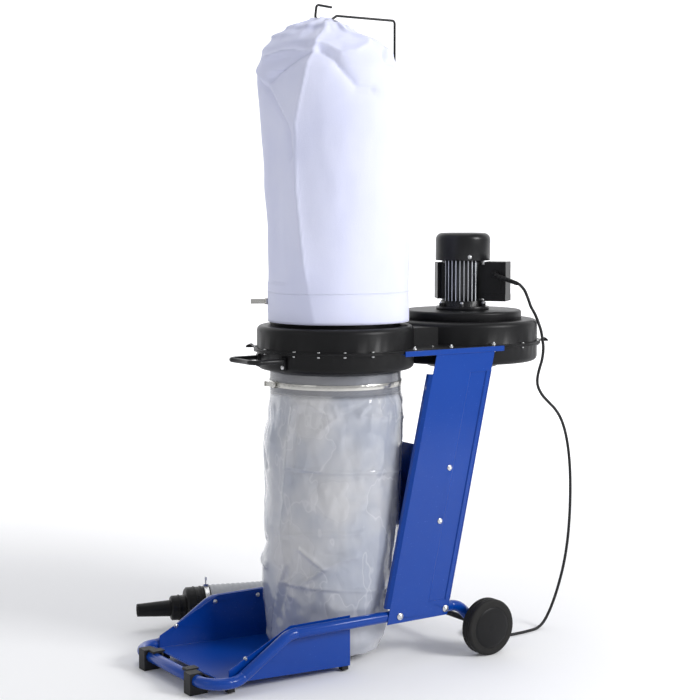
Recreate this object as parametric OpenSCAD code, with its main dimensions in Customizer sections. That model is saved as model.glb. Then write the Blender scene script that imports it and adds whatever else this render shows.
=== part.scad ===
// Single-bag dust collector on a two-wheel trolley.
// X runs along the trolley (tray at -X, wheels at +X), Y across it, Z up from the floor.
// The axis of the bag drum stands at X = 0, Y = 0.

/* [Housing] */
// Outer radius of both housing drums
drum_r = 180.5; // [150:0.5:200]
// Distance between the bag drum axis and the fan axis
drum_pitch = 370; // [368:1:460]
// Height of the top face of the drums
drum_top = 762; // [740:1:820]
// Height of the split between the two housing shells
split_z = 707; // [690:1:720]
// Height of the underside of the drums
drum_bottom = 663; // [640:1:670]
// Wall of the housing shells
shell_wall = 3; // [2:0.5:5]
// Width of the bolted flange outside the drum wall
flange_lip = 7.5; // [7:0.5:14]

/* [Motor] */
// Radius of the finned motor body over its fins
motor_r = 57; // [45:1:65]
// Length of the finned motor body
motor_len = 99; // [80:1:140]
// Radius of the round plate that closes the fan drum
motor_plate_r = 142; // [125:1:150]
// Diameter of the motor shaft
shaft_d = 14; // [10:1:20]
// Radius of the impeller
impeller_r = 135; // [110:1:138]

/* [Collars and bags] */
// Outer radius of both bag collars
collar_r = 150; // [130:1:160]
// Height of the upper collar above the drum
upper_collar_h = 62; // [50:1:90]
// Depth of the lower collar below the drum
lower_collar_h = 50; // [40:1:70]
// Outer radius of the filter bag at its fullest
filter_bag_r = 157; // [153:0.5:158]
// Height of the top of the filter bag
filter_bag_top = 1436; // [1200:1:1600]
// Outer radius of the collection bag
dust_bag_r = 156; // [153:0.5:157]
// Height of the underside of the collection bag
dust_bag_z = 23; // [21:1:60]

/* [Trolley] */
// Outer diameter of the frame tube
tube_d = 25; // [20:0.5:30]
// Height of the side rails, at the tube axis
rail_z = 113; // [105:1:140]
// Outer face of the columns, measured from the middle plane
column_y = 189.5; // [188.5:0.5:230]
// Width of a column across its faces
column_w = 178; // [150:1:200]
// Lean of the columns towards the wheels, in degrees
lean = 12.7; // [8:0.1:14]
// Thickness of the column and brace sheet
sheet = 1.5; // [1:0.5:3]
// Diameter of the wheels
wheel_d = 130; // [100:1:160]
// Width of the wheels
wheel_w = 36; // [25:1:50]
// Diameter of the wheel axle
axle_d = 14; // [10:1:18]

/* [Hanger] */
// Diameter of the hanger rod
rod_d = 5.5; // [4:0.5:8]
// Distance of the hanger post from the bag axis
post_x = 165; // [163:1:172]
// Height of the arm of the hanger
arm_z = 1460; // [1300:1:1620]

/* [Hose and cord] */
// Outer diameter of the suction hose
hose_d = 102; // [80:1:110]
// Outer diameter of the mains cord
cord_d = 7; // [5:0.5:9]

/* [Hidden] */
$fn = 64;
hull_fn = 24;
seam = 0.3;
slip = 0.2;
run_fit = 0.05;
lap = 0.05;
hair = 0.02;
butt = 0.01;

// Housing
flange_r = drum_r + flange_lip;
flange_t = 3.5;
gasket_t = 1;
upper_flange_z = split_z + gasket_t;
drum_round = 12;
duct_w = 200;
duct_top = drum_top - 9;
duct_bottom = drum_bottom + 9;
inner_r = drum_r - shell_wall;
collar_hole_r = collar_r - 4;
plate_hole_r = motor_plate_r - 8;
inlet_hole_r = 60;
screw_r = 2;
screw_ring_r = drum_r + flange_lip / 2;
bag_screw_angles = [100, 125, 150, 178, 207, 225, 243, 263];
fan_screw_angles = [-78, -52, -15, 15, 45, 78];

// Top rails under the straight edges of the flange
rail_x0 = 60;
rail_x1 = 343;
rail_leg_t = 2;
rail_leg_y = column_y + 2.5;
rail_low = split_z - 9;
rail_bolt_xs = [92, 195, 319];
rail_bolt_y = flange_r - 6;
bolt5_r = 2.5;
nut5_r = 4.5;

// Columns
foot_x = 100.5;
column_len = 560;
column_cut_low = rail_z + 20;
column_cut_high = drum_bottom - 8;
column_foot_z = rail_z - 15;
column_head_z = split_z - flange_t - rail_leg_t;
column_edge = 7;
column_flange = 16;
crease_x = 22;
bead_x = column_w / 2 - 22;
bead_w = 11;
brace_x = crease_x - 2;
brace_low = 180;
brace_high = 372;
brace_tab = 18;
brace_bolt_x = crease_x - 10;
brace_bolt_zs = [213, 336];
frame_bolt_xs = [-52.5, 75.5];
bolt8_r = 4;
column_in = column_y - sheet;
tube_r = tube_d / 2;
tube_wall = 1.5;
rail_y = column_in - tube_r - slip;

// Base frame path
cross_x = -431;
cross_z = 31;
corner_r = 50;
rise_x = -400;
rise_angle = 32.6;
rise_top_x = rise_x + (rail_z - cross_z) / tan(rise_angle);
bend_r = 55;
axle_z = wheel_d / 2;
axle_x = 271;
drop_angle = 45;
drop_x = axle_x - (rail_z - axle_z) / tan(drop_angle);
tube_end = 16;
foot_w = 28;
foot_y = 93;
foot_len = 43;
foot_h = 47;

// Wheels
axle_r = axle_d / 2;
wheel_y = 211;
wheel_out_y = wheel_y + wheel_w;
tyre_t = 17;
hub_r = wheel_d / 2 - tyre_t;
axle_half = wheel_out_y - 8;
spacer_r = 12;

// Tray
tray_y = rail_y - tube_r - 1.5;
tray_t = 1.5;
tray_front = -380;
tray_rear = -68;
tray_front_z = 25;
tray_rear_z = 13;
tray_lip_x = -414;
tray_lip_z = 45;
tray_top = rail_z + tube_r + 1.5;
tray_step_z = 52;
tray_bolts_at = [[-335, 71.2], [-232, 113], [-117, 113]];

// Bags and bands
collar_wall = 1.5;
collar_lip = 8;
cloth_t = 2;
hem_in = collar_r + seam;
hem_out = hem_in + cloth_t;
hem_z = drum_top + 6;
band_h = 12;
band_t = 1;
upper_band_z = drum_top + 48;
dust_hem_out = hem_in + 1.2;
lower_band_z = drum_bottom - 38;
latch_len = 34;
latch_w = 14;
latch_gap = 3.5;
upper_latch_angle = 152;
lower_latch_angle = 176;
pin_r = 1.5;

// Motor
motor_z = drum_top + 22;
base_h = 22;
base_r = motor_r + 7;
body_z = motor_z + base_h;
cowl_z = body_z + motor_len;
cowl_h = 64;
cowl_r = motor_r + 9;
shaft_r = shaft_d / 2;
stator_in = 33;
rotor_core_r = stator_in - 0.6;
bearing_out = 17;
bearing_h = 11;
lower_bearing_z = motor_z + 6;
upper_bearing_z = cowl_z - bearing_h;
impeller_z = drum_bottom + 16;
impeller_h = 66;
hub_h = 34;
blades = 8;
fins = 36;
boss_h_low = 16;
switch_angle = -52;
switch_w = 62;
switch_out = 112;
switch_low = body_z;
switch_h = 98;
gland_z = body_z + 64;
gland_u = (motor_r + switch_out) / 2 + 2;
button_zs = [body_z + 38, body_z + 66];
cap_angle = 150;
base_angles = [-130, -70, -10, 50, 110, 170];
cowl_angles = [-114, 6, 126];
plate_angles = [55, 145, 235, 325];

// Inlet, hose and clamps
port_r = 49;
port_z = 590;
bevel_r = 100;
hose_r = hose_d / 2;
hose_end = [-148, 342, 52];
hose_last = [-130, 336, 52];
hose_turn = atan2(hose_end[1] - hose_last[1], hose_end[0] - hose_last[0]);
clamp_w = 11;
adapter_r = [48, 30, 18, 15.5];
adapter_len = [60, 36, 82];

// Hanger
rod_r = rod_d / 2;
rod_bend = 7;
arm_pts = [[post_x, drum_top + 0.1], [post_x, arm_z], [4, arm_z], [-22, arm_z - 17], [-54, arm_z - 9],
    [-50, arm_z + 21], [-10, arm_z + 18]];
boss_r = 9;
boss_h = 26;

// Route of the suction hose, from the inlet port to the clamped fitting
hose_pts = [[drum_pitch, 0, port_z], [drum_pitch, 0, port_z - 28], [368, 7, 524], [361, 26, 480], [353, 54, 434],
    [342, 90, 386], [328, 131, 338], [310, 172, 292], [287, 208, 248], [258, 238, 206],
    [222, 260, 166], [181, 275, 129], [137, 284, 98], [91, 289, 73], [44, 292, 58],
    [-3, 298, 52], [-50, 309, 52], [-94, 324, 52], hose_last, hose_end];

// Route of the mains cord, from the strain relief to the coil
cord_pts = [[432, -133, 849], [447, -139, 834], [461, -137, 812], [474, -132, 793], [486, -133, 775],
    [495, -135, 755], [504, -135, 734], [510, -134, 712], [513, -134, 690], [511, -132, 664],
    [506, -128, 640], [503, -125, 618], [506, -124, 598], [517, -127, 577], [533, -134, 558],
    [548, -140, 541], [561, -146, 518], [571, -151, 486], [578, -155, 444], [582, -158, 392],
    [584, -158, 332], [583, -157, 272], [580, -154, 214], [574, -149, 160], [566, -142, 112],
    [556, -135, 70], [543, -130, 36], [526, -129, 13], [503, -134, 4], [478, -140, 3.6],
    [453, -143, 3.6], [426, -143.6, 3.6], [399, -143.6, 3.6], [372, -143.6, 3.6]];

// Coil of the rest of the cord, lying flat behind the near wheel
coil_at = [368, -95];
coil_mid_r = 38;
coil_rows = 2;
coil_inner = coil_mid_r - cord_d;
coil_outer = coil_mid_r + cord_d;
plug_tail = 14;
plug_at = coil_at + [27.5 + plug_tail, coil_outer - cord_d / 2];

// The whole machine is moved so that the origin lies under the middle of its outline
feet_x = cross_x - foot_len / 2 + 4;
middle_x = (feet_x + drum_pitch + flange_r) / 2;

module placed() {
    translate([-middle_x, 0, 0]) children();
}

// A round bar or a pipe from one point to another
module bar(p, q, r, wall = 0) {
    d = q - p;
    len = norm(d);
    translate(p) rotate([0, acos(d[2] / len), atan2(d[1], d[0])]) difference() {
        cylinder(r = r, h = len);
        if (wall > 0) translate([0, 0, -1]) cylinder(r = r - wall, h = len + 2);
    }
}

// A straight run between two bends: it laps a little into both and is a hair slimmer
module run(p, q, r, wall = 0) {
    d = (q - p) / norm(q - p);
    bar(p - lap * d, q + lap * d, r - hair, wall > 0 ? wall - 2 * hair : 0);
}

// A bent piece of pipe in its own XY plane, from angle a0 through a1
module pipe_bend(r, a0, turn, wall) {
    rotate_extrude(angle = turn, start = a0) translate([r, 0]) difference() {
        circle(r = tube_r);
        circle(r = tube_r - wall);
    }
}

function flat_turn(p, i) = let (a = p[i] - p[i - 1], b = p[i + 1] - p[i]) atan2(cross(a, b), a * b);
function bend_cut(p, i, b) = i == 0 || i == len(p) - 1 ? 0 : b * tan(abs(flat_turn(p, i)) / 2);
function raised(v) = [v[0], v[1], 0];

// A round rod along flat points, every corner bent to radius b
module bent_rod(p, r, b) {
    n = len(p) - 1;
    for (i = [0 : n - 1]) {
        d = (p[i + 1] - p[i]) / norm(p[i + 1] - p[i]);
        run(raised(p[i] + bend_cut(p, i, b) * d), raised(p[i + 1] - bend_cut(p, i + 1, b) * d), r);
    }
    for (i = [1 : n - 1]) {
        a = flat_turn(p, i);
        d = (p[i] - p[i - 1]) / norm(p[i] - p[i - 1]);
        h = atan2(d[1], d[0]);
        centre = p[i] - bend_cut(p, i, b) * d + b * sign(a) * [-d[1], d[0]];
        translate(raised(centre)) rotate([0, 0, a > 0 ? h - 90 : h + 90 + a])
            rotate_extrude(angle = abs(a)) translate([b, 0]) circle(r = r);
    }
}

module at_ring(angles, r, x = 0) {
    for (a = angles) translate([x, 0, 0]) rotate([0, 0, a]) translate([r, 0, 0]) children();
}

// A ring lying flat: outer and inner radius, from z upwards by h
module ring(ro, ri, z, h) {
    translate([0, 0, z]) difference() {
        cylinder(r = ro, h = h);
        translate([0, 0, -1]) cylinder(r = ri, h = h + 2);
    }
}

module hex_prism(r, h) {
    cylinder(r = r, h = h, $fn = 6);
}

// Domed bolt head standing on z = 0
module dome_head(r, h) {
    cylinder(r = r, h = h * 0.4);
    translate([0, 0, h * 0.4]) intersection() {
        cylinder(r = r * 0.98, h = h * 0.6);
        translate([0, 0, h * 0.6 - r * 1.25]) sphere(r = r * 1.25);
    }
}

// ---- Base frame ----

// A straight length of the frame tube; every length stops a hair short of its bends
module tube_run(p, q) {
    d = (q - p) / norm(q - p);
    bar(p + butt * d, q - butt * d, tube_r, tube_wall);
}

module frame_side() {
    t_rise = bend_r * tan(rise_angle / 2);
    t_drop = bend_r * tan(drop_angle / 2);
    ca = cos(rise_angle);
    sa = sin(rise_angle);
    cd = cos(drop_angle);
    sd = sin(drop_angle);
    translate([cross_x + corner_r, -(rail_y - corner_r), cross_z]) pipe_bend(corner_r, 180, 90, tube_wall);
    tube_run([cross_x + corner_r, -rail_y, cross_z], [rise_in_x, -rail_y, cross_z]);
    translate([rise_in_x, -rail_y, cross_z + bend_r]) rotate([90, 0, 0])
        pipe_bend(bend_r, -90, rise_angle, tube_wall);
    tube_run([rise_in_x + bend_r * sa, -rail_y, cross_z + bend_r * (1 - ca)],
        [rise_out_x - bend_r * sa, -rail_y, rail_z - bend_r * (1 - ca)]);
    translate([rise_out_x, -rail_y, rail_z - bend_r]) rotate([90, 0, 0])
        pipe_bend(bend_r, 90, rise_angle, tube_wall);
    tube_run([rise_out_x, -rail_y, rail_z], [drop_x - t_drop, -rail_y, rail_z]);
    translate([drop_x - t_drop, -rail_y, rail_z - bend_r]) rotate([90, 0, 0])
        pipe_bend(bend_r, 90 - drop_angle, drop_angle, tube_wall);
    tube_run([drop_x - t_drop + bend_r * sd, -rail_y, rail_z - bend_r * (1 - cd)],
        [axle_x + tube_end * cd, -rail_y, axle_z - tube_end * sd]);
}

// Ends of the lower straight and of the upper straight beside the rising stretch
rise_in_x = cross_x + corner_r + 2;
rise_dx = (rail_z - cross_z - 2 * bend_r * (1 - cos(rise_angle))) / tan(rise_angle);
rise_out_x = rise_in_x + 2 * bend_r * sin(rise_angle) + rise_dx;

module base_frame() {
    color("royalblue") difference() {
        union() {
            tube_run([cross_x, rail_y - corner_r, cross_z], [cross_x, -rail_y + corner_r, cross_z]);
            frame_side();
            mirror([0, 1, 0]) frame_side();
        }
        translate([axle_x, 0, axle_z]) rotate([90, 0, 0])
            cylinder(r = axle_r + slip, h = 2 * column_y, center = true);
        for (x = frame_bolt_xs) translate([foot_x + x, 0, rail_z]) rotate([90, 0, 0])
            cylinder(r = bolt8_r + slip, h = 2 * column_y, center = true);
    }
}

module axle() {
    color("midnightblue") translate([axle_x, 0, axle_z]) rotate([90, 0, 0])
        cylinder(r = axle_r, h = 2 * axle_half, center = true);
}

// Spacer sleeves inside the wheels and push-on clips outside them
module wheel_clips() {
    color("silver") for (s = [-1, 1]) translate([axle_x, 0, axle_z]) rotate([s * 90, 0, 0]) {
        ring(spacer_r, axle_r + slip, rail_y + tube_r + slip, wheel_y - seam - rail_y - tube_r - slip);
        ring(axle_r + 4, axle_r + 0.1, axle_half - 6, 1.5);
    }
}

// Wheel turned about its own axis, outer face towards +Z, inner face at z = 0
module tyre_solid() {
    round = 6;
    rotate_extrude() difference() {
        union() {
            translate([hub_r, 0]) square([tyre_t - round, wheel_w - 4]);
            translate([hub_r, round]) square([tyre_t, wheel_w - 4 - 2 * round]);
            for (z = [round, wheel_w - 4 - round]) translate([wheel_d / 2 - round, z]) circle(r = round);
        }
        for (z = [12, wheel_w - 16]) translate([wheel_d / 2 - 1.2, z]) square([3, 2]);
    }
}

module hub_solid() {
    face = wheel_w - 4;
    difference() {
        union() {
            cylinder(r = spacer_r + 4, h = face);
            translate([0, 0, 12]) cylinder(r = hub_r - 4, h = 4);
            ring(hub_r, hub_r - 5, 0, face);
            translate([0, 0, face]) rotate_extrude() intersection() {
                translate([0, -84]) circle(r = 88, $fn = 96);
                square([hub_r + 8, 8]);
            }
            for (a = [0 : 60 : 300]) rotate([0, 0, a]) translate([spacer_r, -2, 2]) cube([hub_r - spacer_r - 3, 4, 11]);
        }
        translate([0, 0, -1]) cylinder(r = axle_r + run_fit, h = axle_half - wheel_y - 6 + 1.001);
        translate([0, 0, axle_half - wheel_y - 6 - 0.3]) cylinder(r = axle_r + 5, h = 8);
    }
}

module on_wheel(side) {
    translate([axle_x, side * wheel_y, axle_z]) rotate([-side * 90, 0, 0]) children();
}

module wheel_tyre_left() {
    color("#1c1c1e") on_wheel(-1) tyre_solid();
}

module wheel_tyre_right() {
    color("#1c1c1e") on_wheel(1) tyre_solid();
}

module wheel_hub_left() {
    color("#242426") on_wheel(-1) hub_solid();
}

module wheel_hub_right() {
    color("#242426") on_wheel(1) hub_solid();
}

// Moulded foot clipped round the front crossbar
module front_foot(side) {
    color("#202022") difference() {
        translate([feet_x, side < 0 ? -foot_y - foot_w : foot_y, 0]) difference() {
            cube([foot_len, foot_w, foot_h]);
            translate([foot_len - 14, -1, foot_h - 12]) cube([15, foot_w + 2, 13]);
        }
        translate([cross_x, 0, cross_z]) rotate([90, 0, 0])
            cylinder(r = tube_r + slip, h = 2 * column_y, center = true);
    }
}

module front_foot_left() {
    front_foot(-1);
}

module front_foot_right() {
    front_foot(1);
}

// ---- Tray ----

function tray_z(x) = tray_rear_z + (tray_rear - x) * (tray_front_z - tray_rear_z) / (tray_rear - tray_front);

module tray_side() {
    rotate([90, 0, 0]) linear_extrude(tray_t) polygon([[tray_rear, tray_rear_z], [tray_rear, tray_top],
        [rise_out_x - 6, tray_top], [tray_front, tray_step_z], [tray_front, tray_front_z]]);
}

module tray() {
    color("royalblue") difference() {
        union() {
            translate([0, tray_y, 0]) rotate([90, 0, 0]) linear_extrude(2 * tray_y) polygon([
                [tray_rear, tray_rear_z], [tray_rear, tray_rear_z + tray_t],
                [tray_front, tray_front_z + tray_t], [tray_lip_x + 1, tray_lip_z],
                [tray_lip_x, tray_lip_z - tray_t], [tray_front, tray_front_z]]);
            translate([0, tray_y, 0]) tray_side();
            translate([0, -tray_y + tray_t, 0]) tray_side();
        }
        for (p = tray_bolts_at) translate([p[0], 0, p[1]]) rotate([90, 0, 0])
            cylinder(r = 3.2, h = 2 * column_y, center = true);
        for (s = [-1, 1]) translate([tray_lip_x - 1, s * (tray_y + 3), tray_front_z - 5])
            rotate([0, 0, 45]) cube([60, 60, 80], center = true);
    }
}

module tray_pads() {
    color("#202022") {
        for (s = [-1, 1]) translate([tray_rear - 18, s * (tray_y - 12) - 8, 3]) cube([16, 16, tray_z(tray_rear - 2) - 3]);
        for (s = [-1, 1]) translate([tray_front + 4, s * (tray_y - 12) - 8, 3]) cube([16, 16, tray_z(tray_front + 20) - 3]);
        for (s = [-1, 1]) translate([cross_x - 8, s * (foot_y - 14) - 11, cross_z + tube_r + 0.1]) {
            cube([21, 22, 5]);
            translate([20, 0, tray_lip_z + 0.3 - cross_z - tube_r - 0.1]) cube([9, 22, cross_z + tube_r + 5.1 - tray_lip_z - 0.3]);
        }
    }
}

module tray_bolts() {
    color("silver") for (s = [-1, 1]) for (p = tray_bolts_at) translate([p[0], s * (tray_y - tray_t), p[1]])
        rotate([s * 90, 0, 0]) {
            dome_head(5.5, 3.5);
            translate([0, 0, -tray_t - 1.4]) cylinder(r = 3, h = tray_t + 1.4);
        }
}

// ---- Columns ----

// Cut through a column: local X across, outer face on Y = 0, folded edges towards +Y
module column_section() {
    h = column_w / 2;
    e = column_edge;
    t = sheet;
    k = t * 0.41;
    polygon([[-h, column_flange], [-h, e], [-h + e, 0], [crease_x, 0], [crease_x + 2, t],
        [bead_x, t], [bead_x + 2, -1.5], [bead_x + bead_w - 2, -1.5], [bead_x + bead_w, t],
        [h - e - 2, t], [h - e, 0], [h, e], [h, column_flange],
        [h - t, column_flange], [h - t, e + k], [h - e - k, t], [h - e - 2, 2 * t],
        [bead_x + bead_w - 1, 2 * t], [bead_x + bead_w - 3, t - 1.5], [bead_x + 3, t - 1.5],
        [bead_x + 1, 2 * t], [crease_x + 1, 2 * t], [crease_x - 1, t], [-h + e + k, t],
        [-h + t, e + k], [-h + t, column_flange]]);
}

module in_column() {
    translate([foot_x, -column_y, rail_z]) rotate([0, lean, 0]) children();
}

module slab(z0, z1) {
    translate([-400, -400, z0]) cube([1200, 800, z1 - z0]);
}

module column() {
    h = column_w / 2 - column_edge;
    difference() {
        union() {
            intersection() {
                in_column() translate([0, 0, -60]) linear_extrude(column_len + 140) column_section();
                slab(column_cut_low, column_cut_high);
            }
            intersection() {
                in_column() translate([-h, 0, -60]) cube([2 * h, sheet, column_len + 140]);
                union() {
                    slab(column_foot_z, column_cut_low + 2);
                    slab(column_cut_high - 2, column_head_z);
                }
            }
            difference() {
                translate([rail_bolt_xs[1] - 16, -column_y, column_head_z - sheet])
                    cube([rail_bolt_xs[2] - rail_bolt_xs[1] + 24, 13, sheet]);
                translate([drum_pitch, 0, column_head_z - 5]) cylinder(r = drum_r + 0.4, h = 12);
            }
        }
        for (x = frame_bolt_xs) translate([foot_x + x, -column_y, rail_z]) rotate([90, 0, 0])
            cylinder(r = bolt8_r + slip, h = 12, center = true);
        for (z = brace_bolt_zs) in_column() translate([brace_bolt_x, 0, z]) rotate([90, 0, 0])
            cylinder(r = 3 + slip, h = 12, center = true);
        for (x = [rail_bolt_xs[1], rail_bolt_xs[2]]) translate([x, -rail_bolt_y, column_head_z])
            cylinder(r = bolt5_r + slip, h = 12, center = true);
    }
}

module column_left() {
    color("royalblue") column();
}

module column_right() {
    color("royalblue") mirror([0, 1, 0]) column();
}

module frame_bolt() {
    bolt_in = 2 * tube_r + slip;
    dome_head(8, 5);
    translate([0, 0, -sheet - bolt_in]) cylinder(r = bolt8_r, h = sheet + bolt_in);
    translate([0, 0, -sheet - bolt_in - 6]) hex_prism(7, 6);
}

module column_bolts() {
    color("silver") for (s = [-1, 1]) scale([1, -s, 1]) {
        for (x = frame_bolt_xs) translate([foot_x + x, -column_y, rail_z]) rotate([90, 0, 0]) frame_bolt();
        for (z = brace_bolt_zs) in_column() translate([brace_bolt_x, 0, z]) rotate([90, 0, 0]) {
            dome_head(6.5, 4);
            translate([0, 0, -2 * sheet - hair]) cylinder(r = 3, h = 2 * sheet + hair);
            translate([0, 0, -2 * sheet - hair - 4]) hex_prism(5.5, 4);
        }
    }
}

module brace_panel() {
    lip = 12;
    span = column_in - hair;
    color("#173a8c") difference() {
        translate([foot_x, 0, rail_z]) rotate([0, lean, 0]) {
            translate([brace_x - sheet, -span, brace_low]) cube([sheet, 2 * span, brace_high - brace_low]);
            for (s = [-1, 1]) translate([brace_x - brace_tab, s < 0 ? -span : span - sheet, brace_low])
                cube([brace_tab - sheet + 0.01, sheet, brace_high - brace_low]);
            for (z = [brace_low, brace_high - sheet]) translate([brace_x - sheet, -span + 20, z])
                cube([lip, 2 * span - 40, sheet]);
        }
        for (z = brace_bolt_zs) translate([foot_x, 0, rail_z]) rotate([0, lean, 0])
            translate([brace_bolt_x, 0, z]) rotate([90, 0, 0])
            cylinder(r = 3 + slip, h = 2 * column_y + 4, center = true);
    }
}

// Angle rail under the straight edge of the housing flange
module top_rail() {
    leg_z = split_z - flange_t - rail_leg_t;
    difference() {
        union() {
            translate([rail_x0, -rail_leg_y, rail_low]) cube([rail_x1 - rail_x0, rail_leg_t, split_z + 3 - rail_low]);
            translate([rail_x0, -rail_leg_y, leg_z]) cube([rail_x1 - rail_x0, 18, rail_leg_t]);
        }
        for (x = [0, drum_pitch]) translate([x, 0, rail_low - 1]) cylinder(r = drum_r + 0.4, h = 20);
        for (x = rail_bolt_xs) translate([x, -rail_bolt_y, leg_z]) cylinder(r = bolt5_r + slip, h = 12, center = true);
    }
}

module top_rail_left() {
    color("royalblue") top_rail();
}

module top_rail_right() {
    color("royalblue") mirror([0, 1, 0]) top_rail();
}

module rail_bolts() {
    head_z = upper_flange_z + flange_t;
    color("silver") for (s = [-1, 1]) for (i = [0 : 2]) translate([rail_bolt_xs[i], s * rail_bolt_y, 0]) {
        low = i == 0 ? split_z - flange_t - rail_leg_t : column_head_z - sheet;
        translate([0, 0, head_z]) cylinder(r = nut5_r, h = 1);
        translate([0, 0, head_z + 1]) hex_prism(nut5_r - 0.2, 3.5);
        translate([0, 0, head_z + 4.5]) cylinder(r = bolt5_r - 0.3, h = 3);
        translate([0, 0, low]) cylinder(r = bolt5_r, h = head_z - low);
        translate([0, 0, low - 4]) hex_prism(nut5_r - 0.2, 4);
    }
}

// ---- Housing ----

module flange_plan() {
    difference() {
        union() {
            for (x = [0, drum_pitch]) translate([x, 0]) circle(r = flange_r, $fn = 128);
            translate([0, -flange_r]) square([drum_pitch, 2 * flange_r]);
        }
        for (x = [0, drum_pitch]) translate([x, 0]) circle(r = inner_r, $fn = 128);
        translate([drum_pitch / 2 - 45, -duct_w / 2 + shell_wall]) square([90, duct_w - 2 * shell_wall]);
    }
}

// Half of a drum from z = 0 up to h, with a rounded outer edge at the top
module drum_skin(h) {
    rotate_extrude($fn = 128) difference() {
        union() {
            square([drum_r - drum_round, h]);
            square([drum_r, h - drum_round]);
            translate([drum_r - drum_round, h - drum_round]) circle(r = drum_round);
        }
        translate([0, -1]) square([inner_r - drum_round, h - shell_wall + 1]);
        translate([0, -1]) square([inner_r, h - drum_round - shell_wall + 1]);
        translate([inner_r - drum_round, h - drum_round - shell_wall]) circle(r = drum_round);
    }
}

module flange_holes(h) {
    at_ring(bag_screw_angles, screw_ring_r) cylinder(r = screw_r + slip, h = h, center = true);
    at_ring(fan_screw_angles, screw_ring_r, drum_pitch) cylinder(r = screw_r + slip, h = h, center = true);
    for (s = [-1, 1]) translate([drum_pitch / 2 - 8, s * 135, 0]) cylinder(r = screw_r + slip, h = h, center = true);
    for (s = [-1, 1]) for (x = rail_bolt_xs) translate([x, s * rail_bolt_y, 0])
        cylinder(r = bolt5_r + slip, h = h, center = true);
}

// One housing shell standing on its flange, opening downwards
module shell(h, duct_h, bag_hole, fan_hole) {
    difference() {
        union() {
            linear_extrude(flange_t) flange_plan();
            drum_skin(h);
            translate([drum_pitch, 0, 0]) drum_skin(h);
            difference() {
                translate([drum_pitch / 2 - 42, -duct_w / 2, 0]) cube([84, duct_w, duct_h]);
                translate([drum_pitch / 2 - 43, -duct_w / 2 + shell_wall, -1])
                    cube([86, duct_w - 2 * shell_wall, duct_h - shell_wall + 1]);
                for (x = [0, drum_pitch]) translate([x, 0, -1]) cylinder(r = inner_r, h = h, $fn = 128);
            }
        }
        translate([0, 0, h - shell_wall - 1]) cylinder(r = bag_hole, h = shell_wall + 2);
        translate([drum_pitch, 0, h - shell_wall - 1]) cylinder(r = fan_hole, h = shell_wall + 2);
        translate([drum_pitch / 2 - 60, -duct_w / 2 + shell_wall, -1])
            cube([120, duct_w - 2 * shell_wall, duct_h - shell_wall + 1]);
        flange_holes(30);
    }
}

// Ribbed ear for winding the cord, standing out of the flange
module cord_ear(x, a) {
    translate([x, 0, 0]) rotate([0, 0, a]) translate([flange_r - 2, 0, 0]) difference() {
        union() {
            translate([0, -16, 0.25]) cube([14, 32, flange_t - 0.5]);
            translate([14, 0, 0]) rotate([90, 0, 0]) cylinder(r = 7, h = 32, center = true);
        }
        translate([-20, -17, -10]) cube([60, 34, 10]);
        for (y = [-10, -5, 0, 5, 10]) translate([8, y - 1, 5.5]) cube([16, 2, 4]);
    }
}

module housing_upper() {
    color("#2a2a2d") difference() {
        translate([0, 0, upper_flange_z]) {
            shell(drum_top - upper_flange_z, duct_top - upper_flange_z, collar_hole_r, plate_hole_r);
            cord_ear(0, 139);
            cord_ear(drum_pitch, -35);
        }
        for (a = plate_angles) translate([drum_pitch, 0, 0]) rotate([0, 0, a])
            translate([motor_plate_r - 4, 0, drum_top - 6]) cylinder(r = screw_r + slip, h = 12);
    }
}

module housing_lower() {
    color("#2a2a2d") difference() {
        translate([0, 0, split_z]) mirror([0, 0, 1])
            shell(split_z - drum_bottom, split_z - duct_bottom, collar_hole_r, inlet_hole_r);
        on_handle_pads() translate([-10, 0, -14]) rotate([0, 90, 0]) cylinder(r = 2.6, h = 14);
    }
}

module flange_gasket() {
    color("#151515") translate([0, 0, split_z]) difference() {
        linear_extrude(gasket_t) flange_plan();
        flange_holes(30);
    }
}

module housing_screw() {
    low = split_z - flange_t;
    high = upper_flange_z + flange_t;
    translate([0, 0, low]) cylinder(r = screw_r, h = high - low);
    translate([0, 0, high]) cylinder(r = 3.3, h = 2);
    translate([0, 0, low - 3]) hex_prism(3.4, 3);
}

module housing_screws() {
    color("silver") {
        at_ring(bag_screw_angles, screw_ring_r) housing_screw();
        at_ring(fan_screw_angles, screw_ring_r, drum_pitch) housing_screw();
        for (s = [-1, 1]) translate([drum_pitch / 2 - 8, s * 135, 0]) housing_screw();
    }
}

// Carrying handle: a bent bar with two pads bolted to the drum wall under the flange
handle_z = split_z - flange_t - 13;
handle_y = 56;
handle_x = drum_r + 70;
handle_r = 5.5;
handle_turn = asin(handle_y / (drum_r + 5));
handle_pts = [[-drum_r + 6, -handle_y], [-handle_x, -handle_y], [-handle_x, handle_y], [-drum_r + 6, handle_y]];

module on_handle_pads() {
    for (s = [-1, 1]) rotate([0, 0, 180 + s * handle_turn]) translate([drum_r, 0, handle_z]) children();
}

module carry_handle() {
    color("#1c1c1e") difference() {
        union() {
            translate([0, 0, handle_z]) bent_rod(handle_pts, handle_r, 20);
            on_handle_pads() translate([0, -8, -20]) cube([5, 16, 28]);
        }
        translate([0, 0, handle_z - 30]) cylinder(r = drum_r + 0.3, h = 60);
        on_handle_pads() translate([-2, 0, -14]) rotate([0, 90, 0]) cylinder(r = 2.6, h = 12);
    }
}

module handle_bolts() {
    color("silver") on_handle_pads() translate([5, 0, -14]) rotate([0, 90, 0]) {
        dome_head(4.5, 3.4);
        translate([0, 0, -5 - 2.5]) cylinder(r = 2.4, h = 7.5);
    }
}

module upper_collar() {
    color("#202022") {
        ring(collar_r, collar_r - collar_wall, drum_top, upper_collar_h);
        ring(collar_r - collar_wall / 2, collar_hole_r + 0.2, drum_top, 1.5);
    }
}

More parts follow.
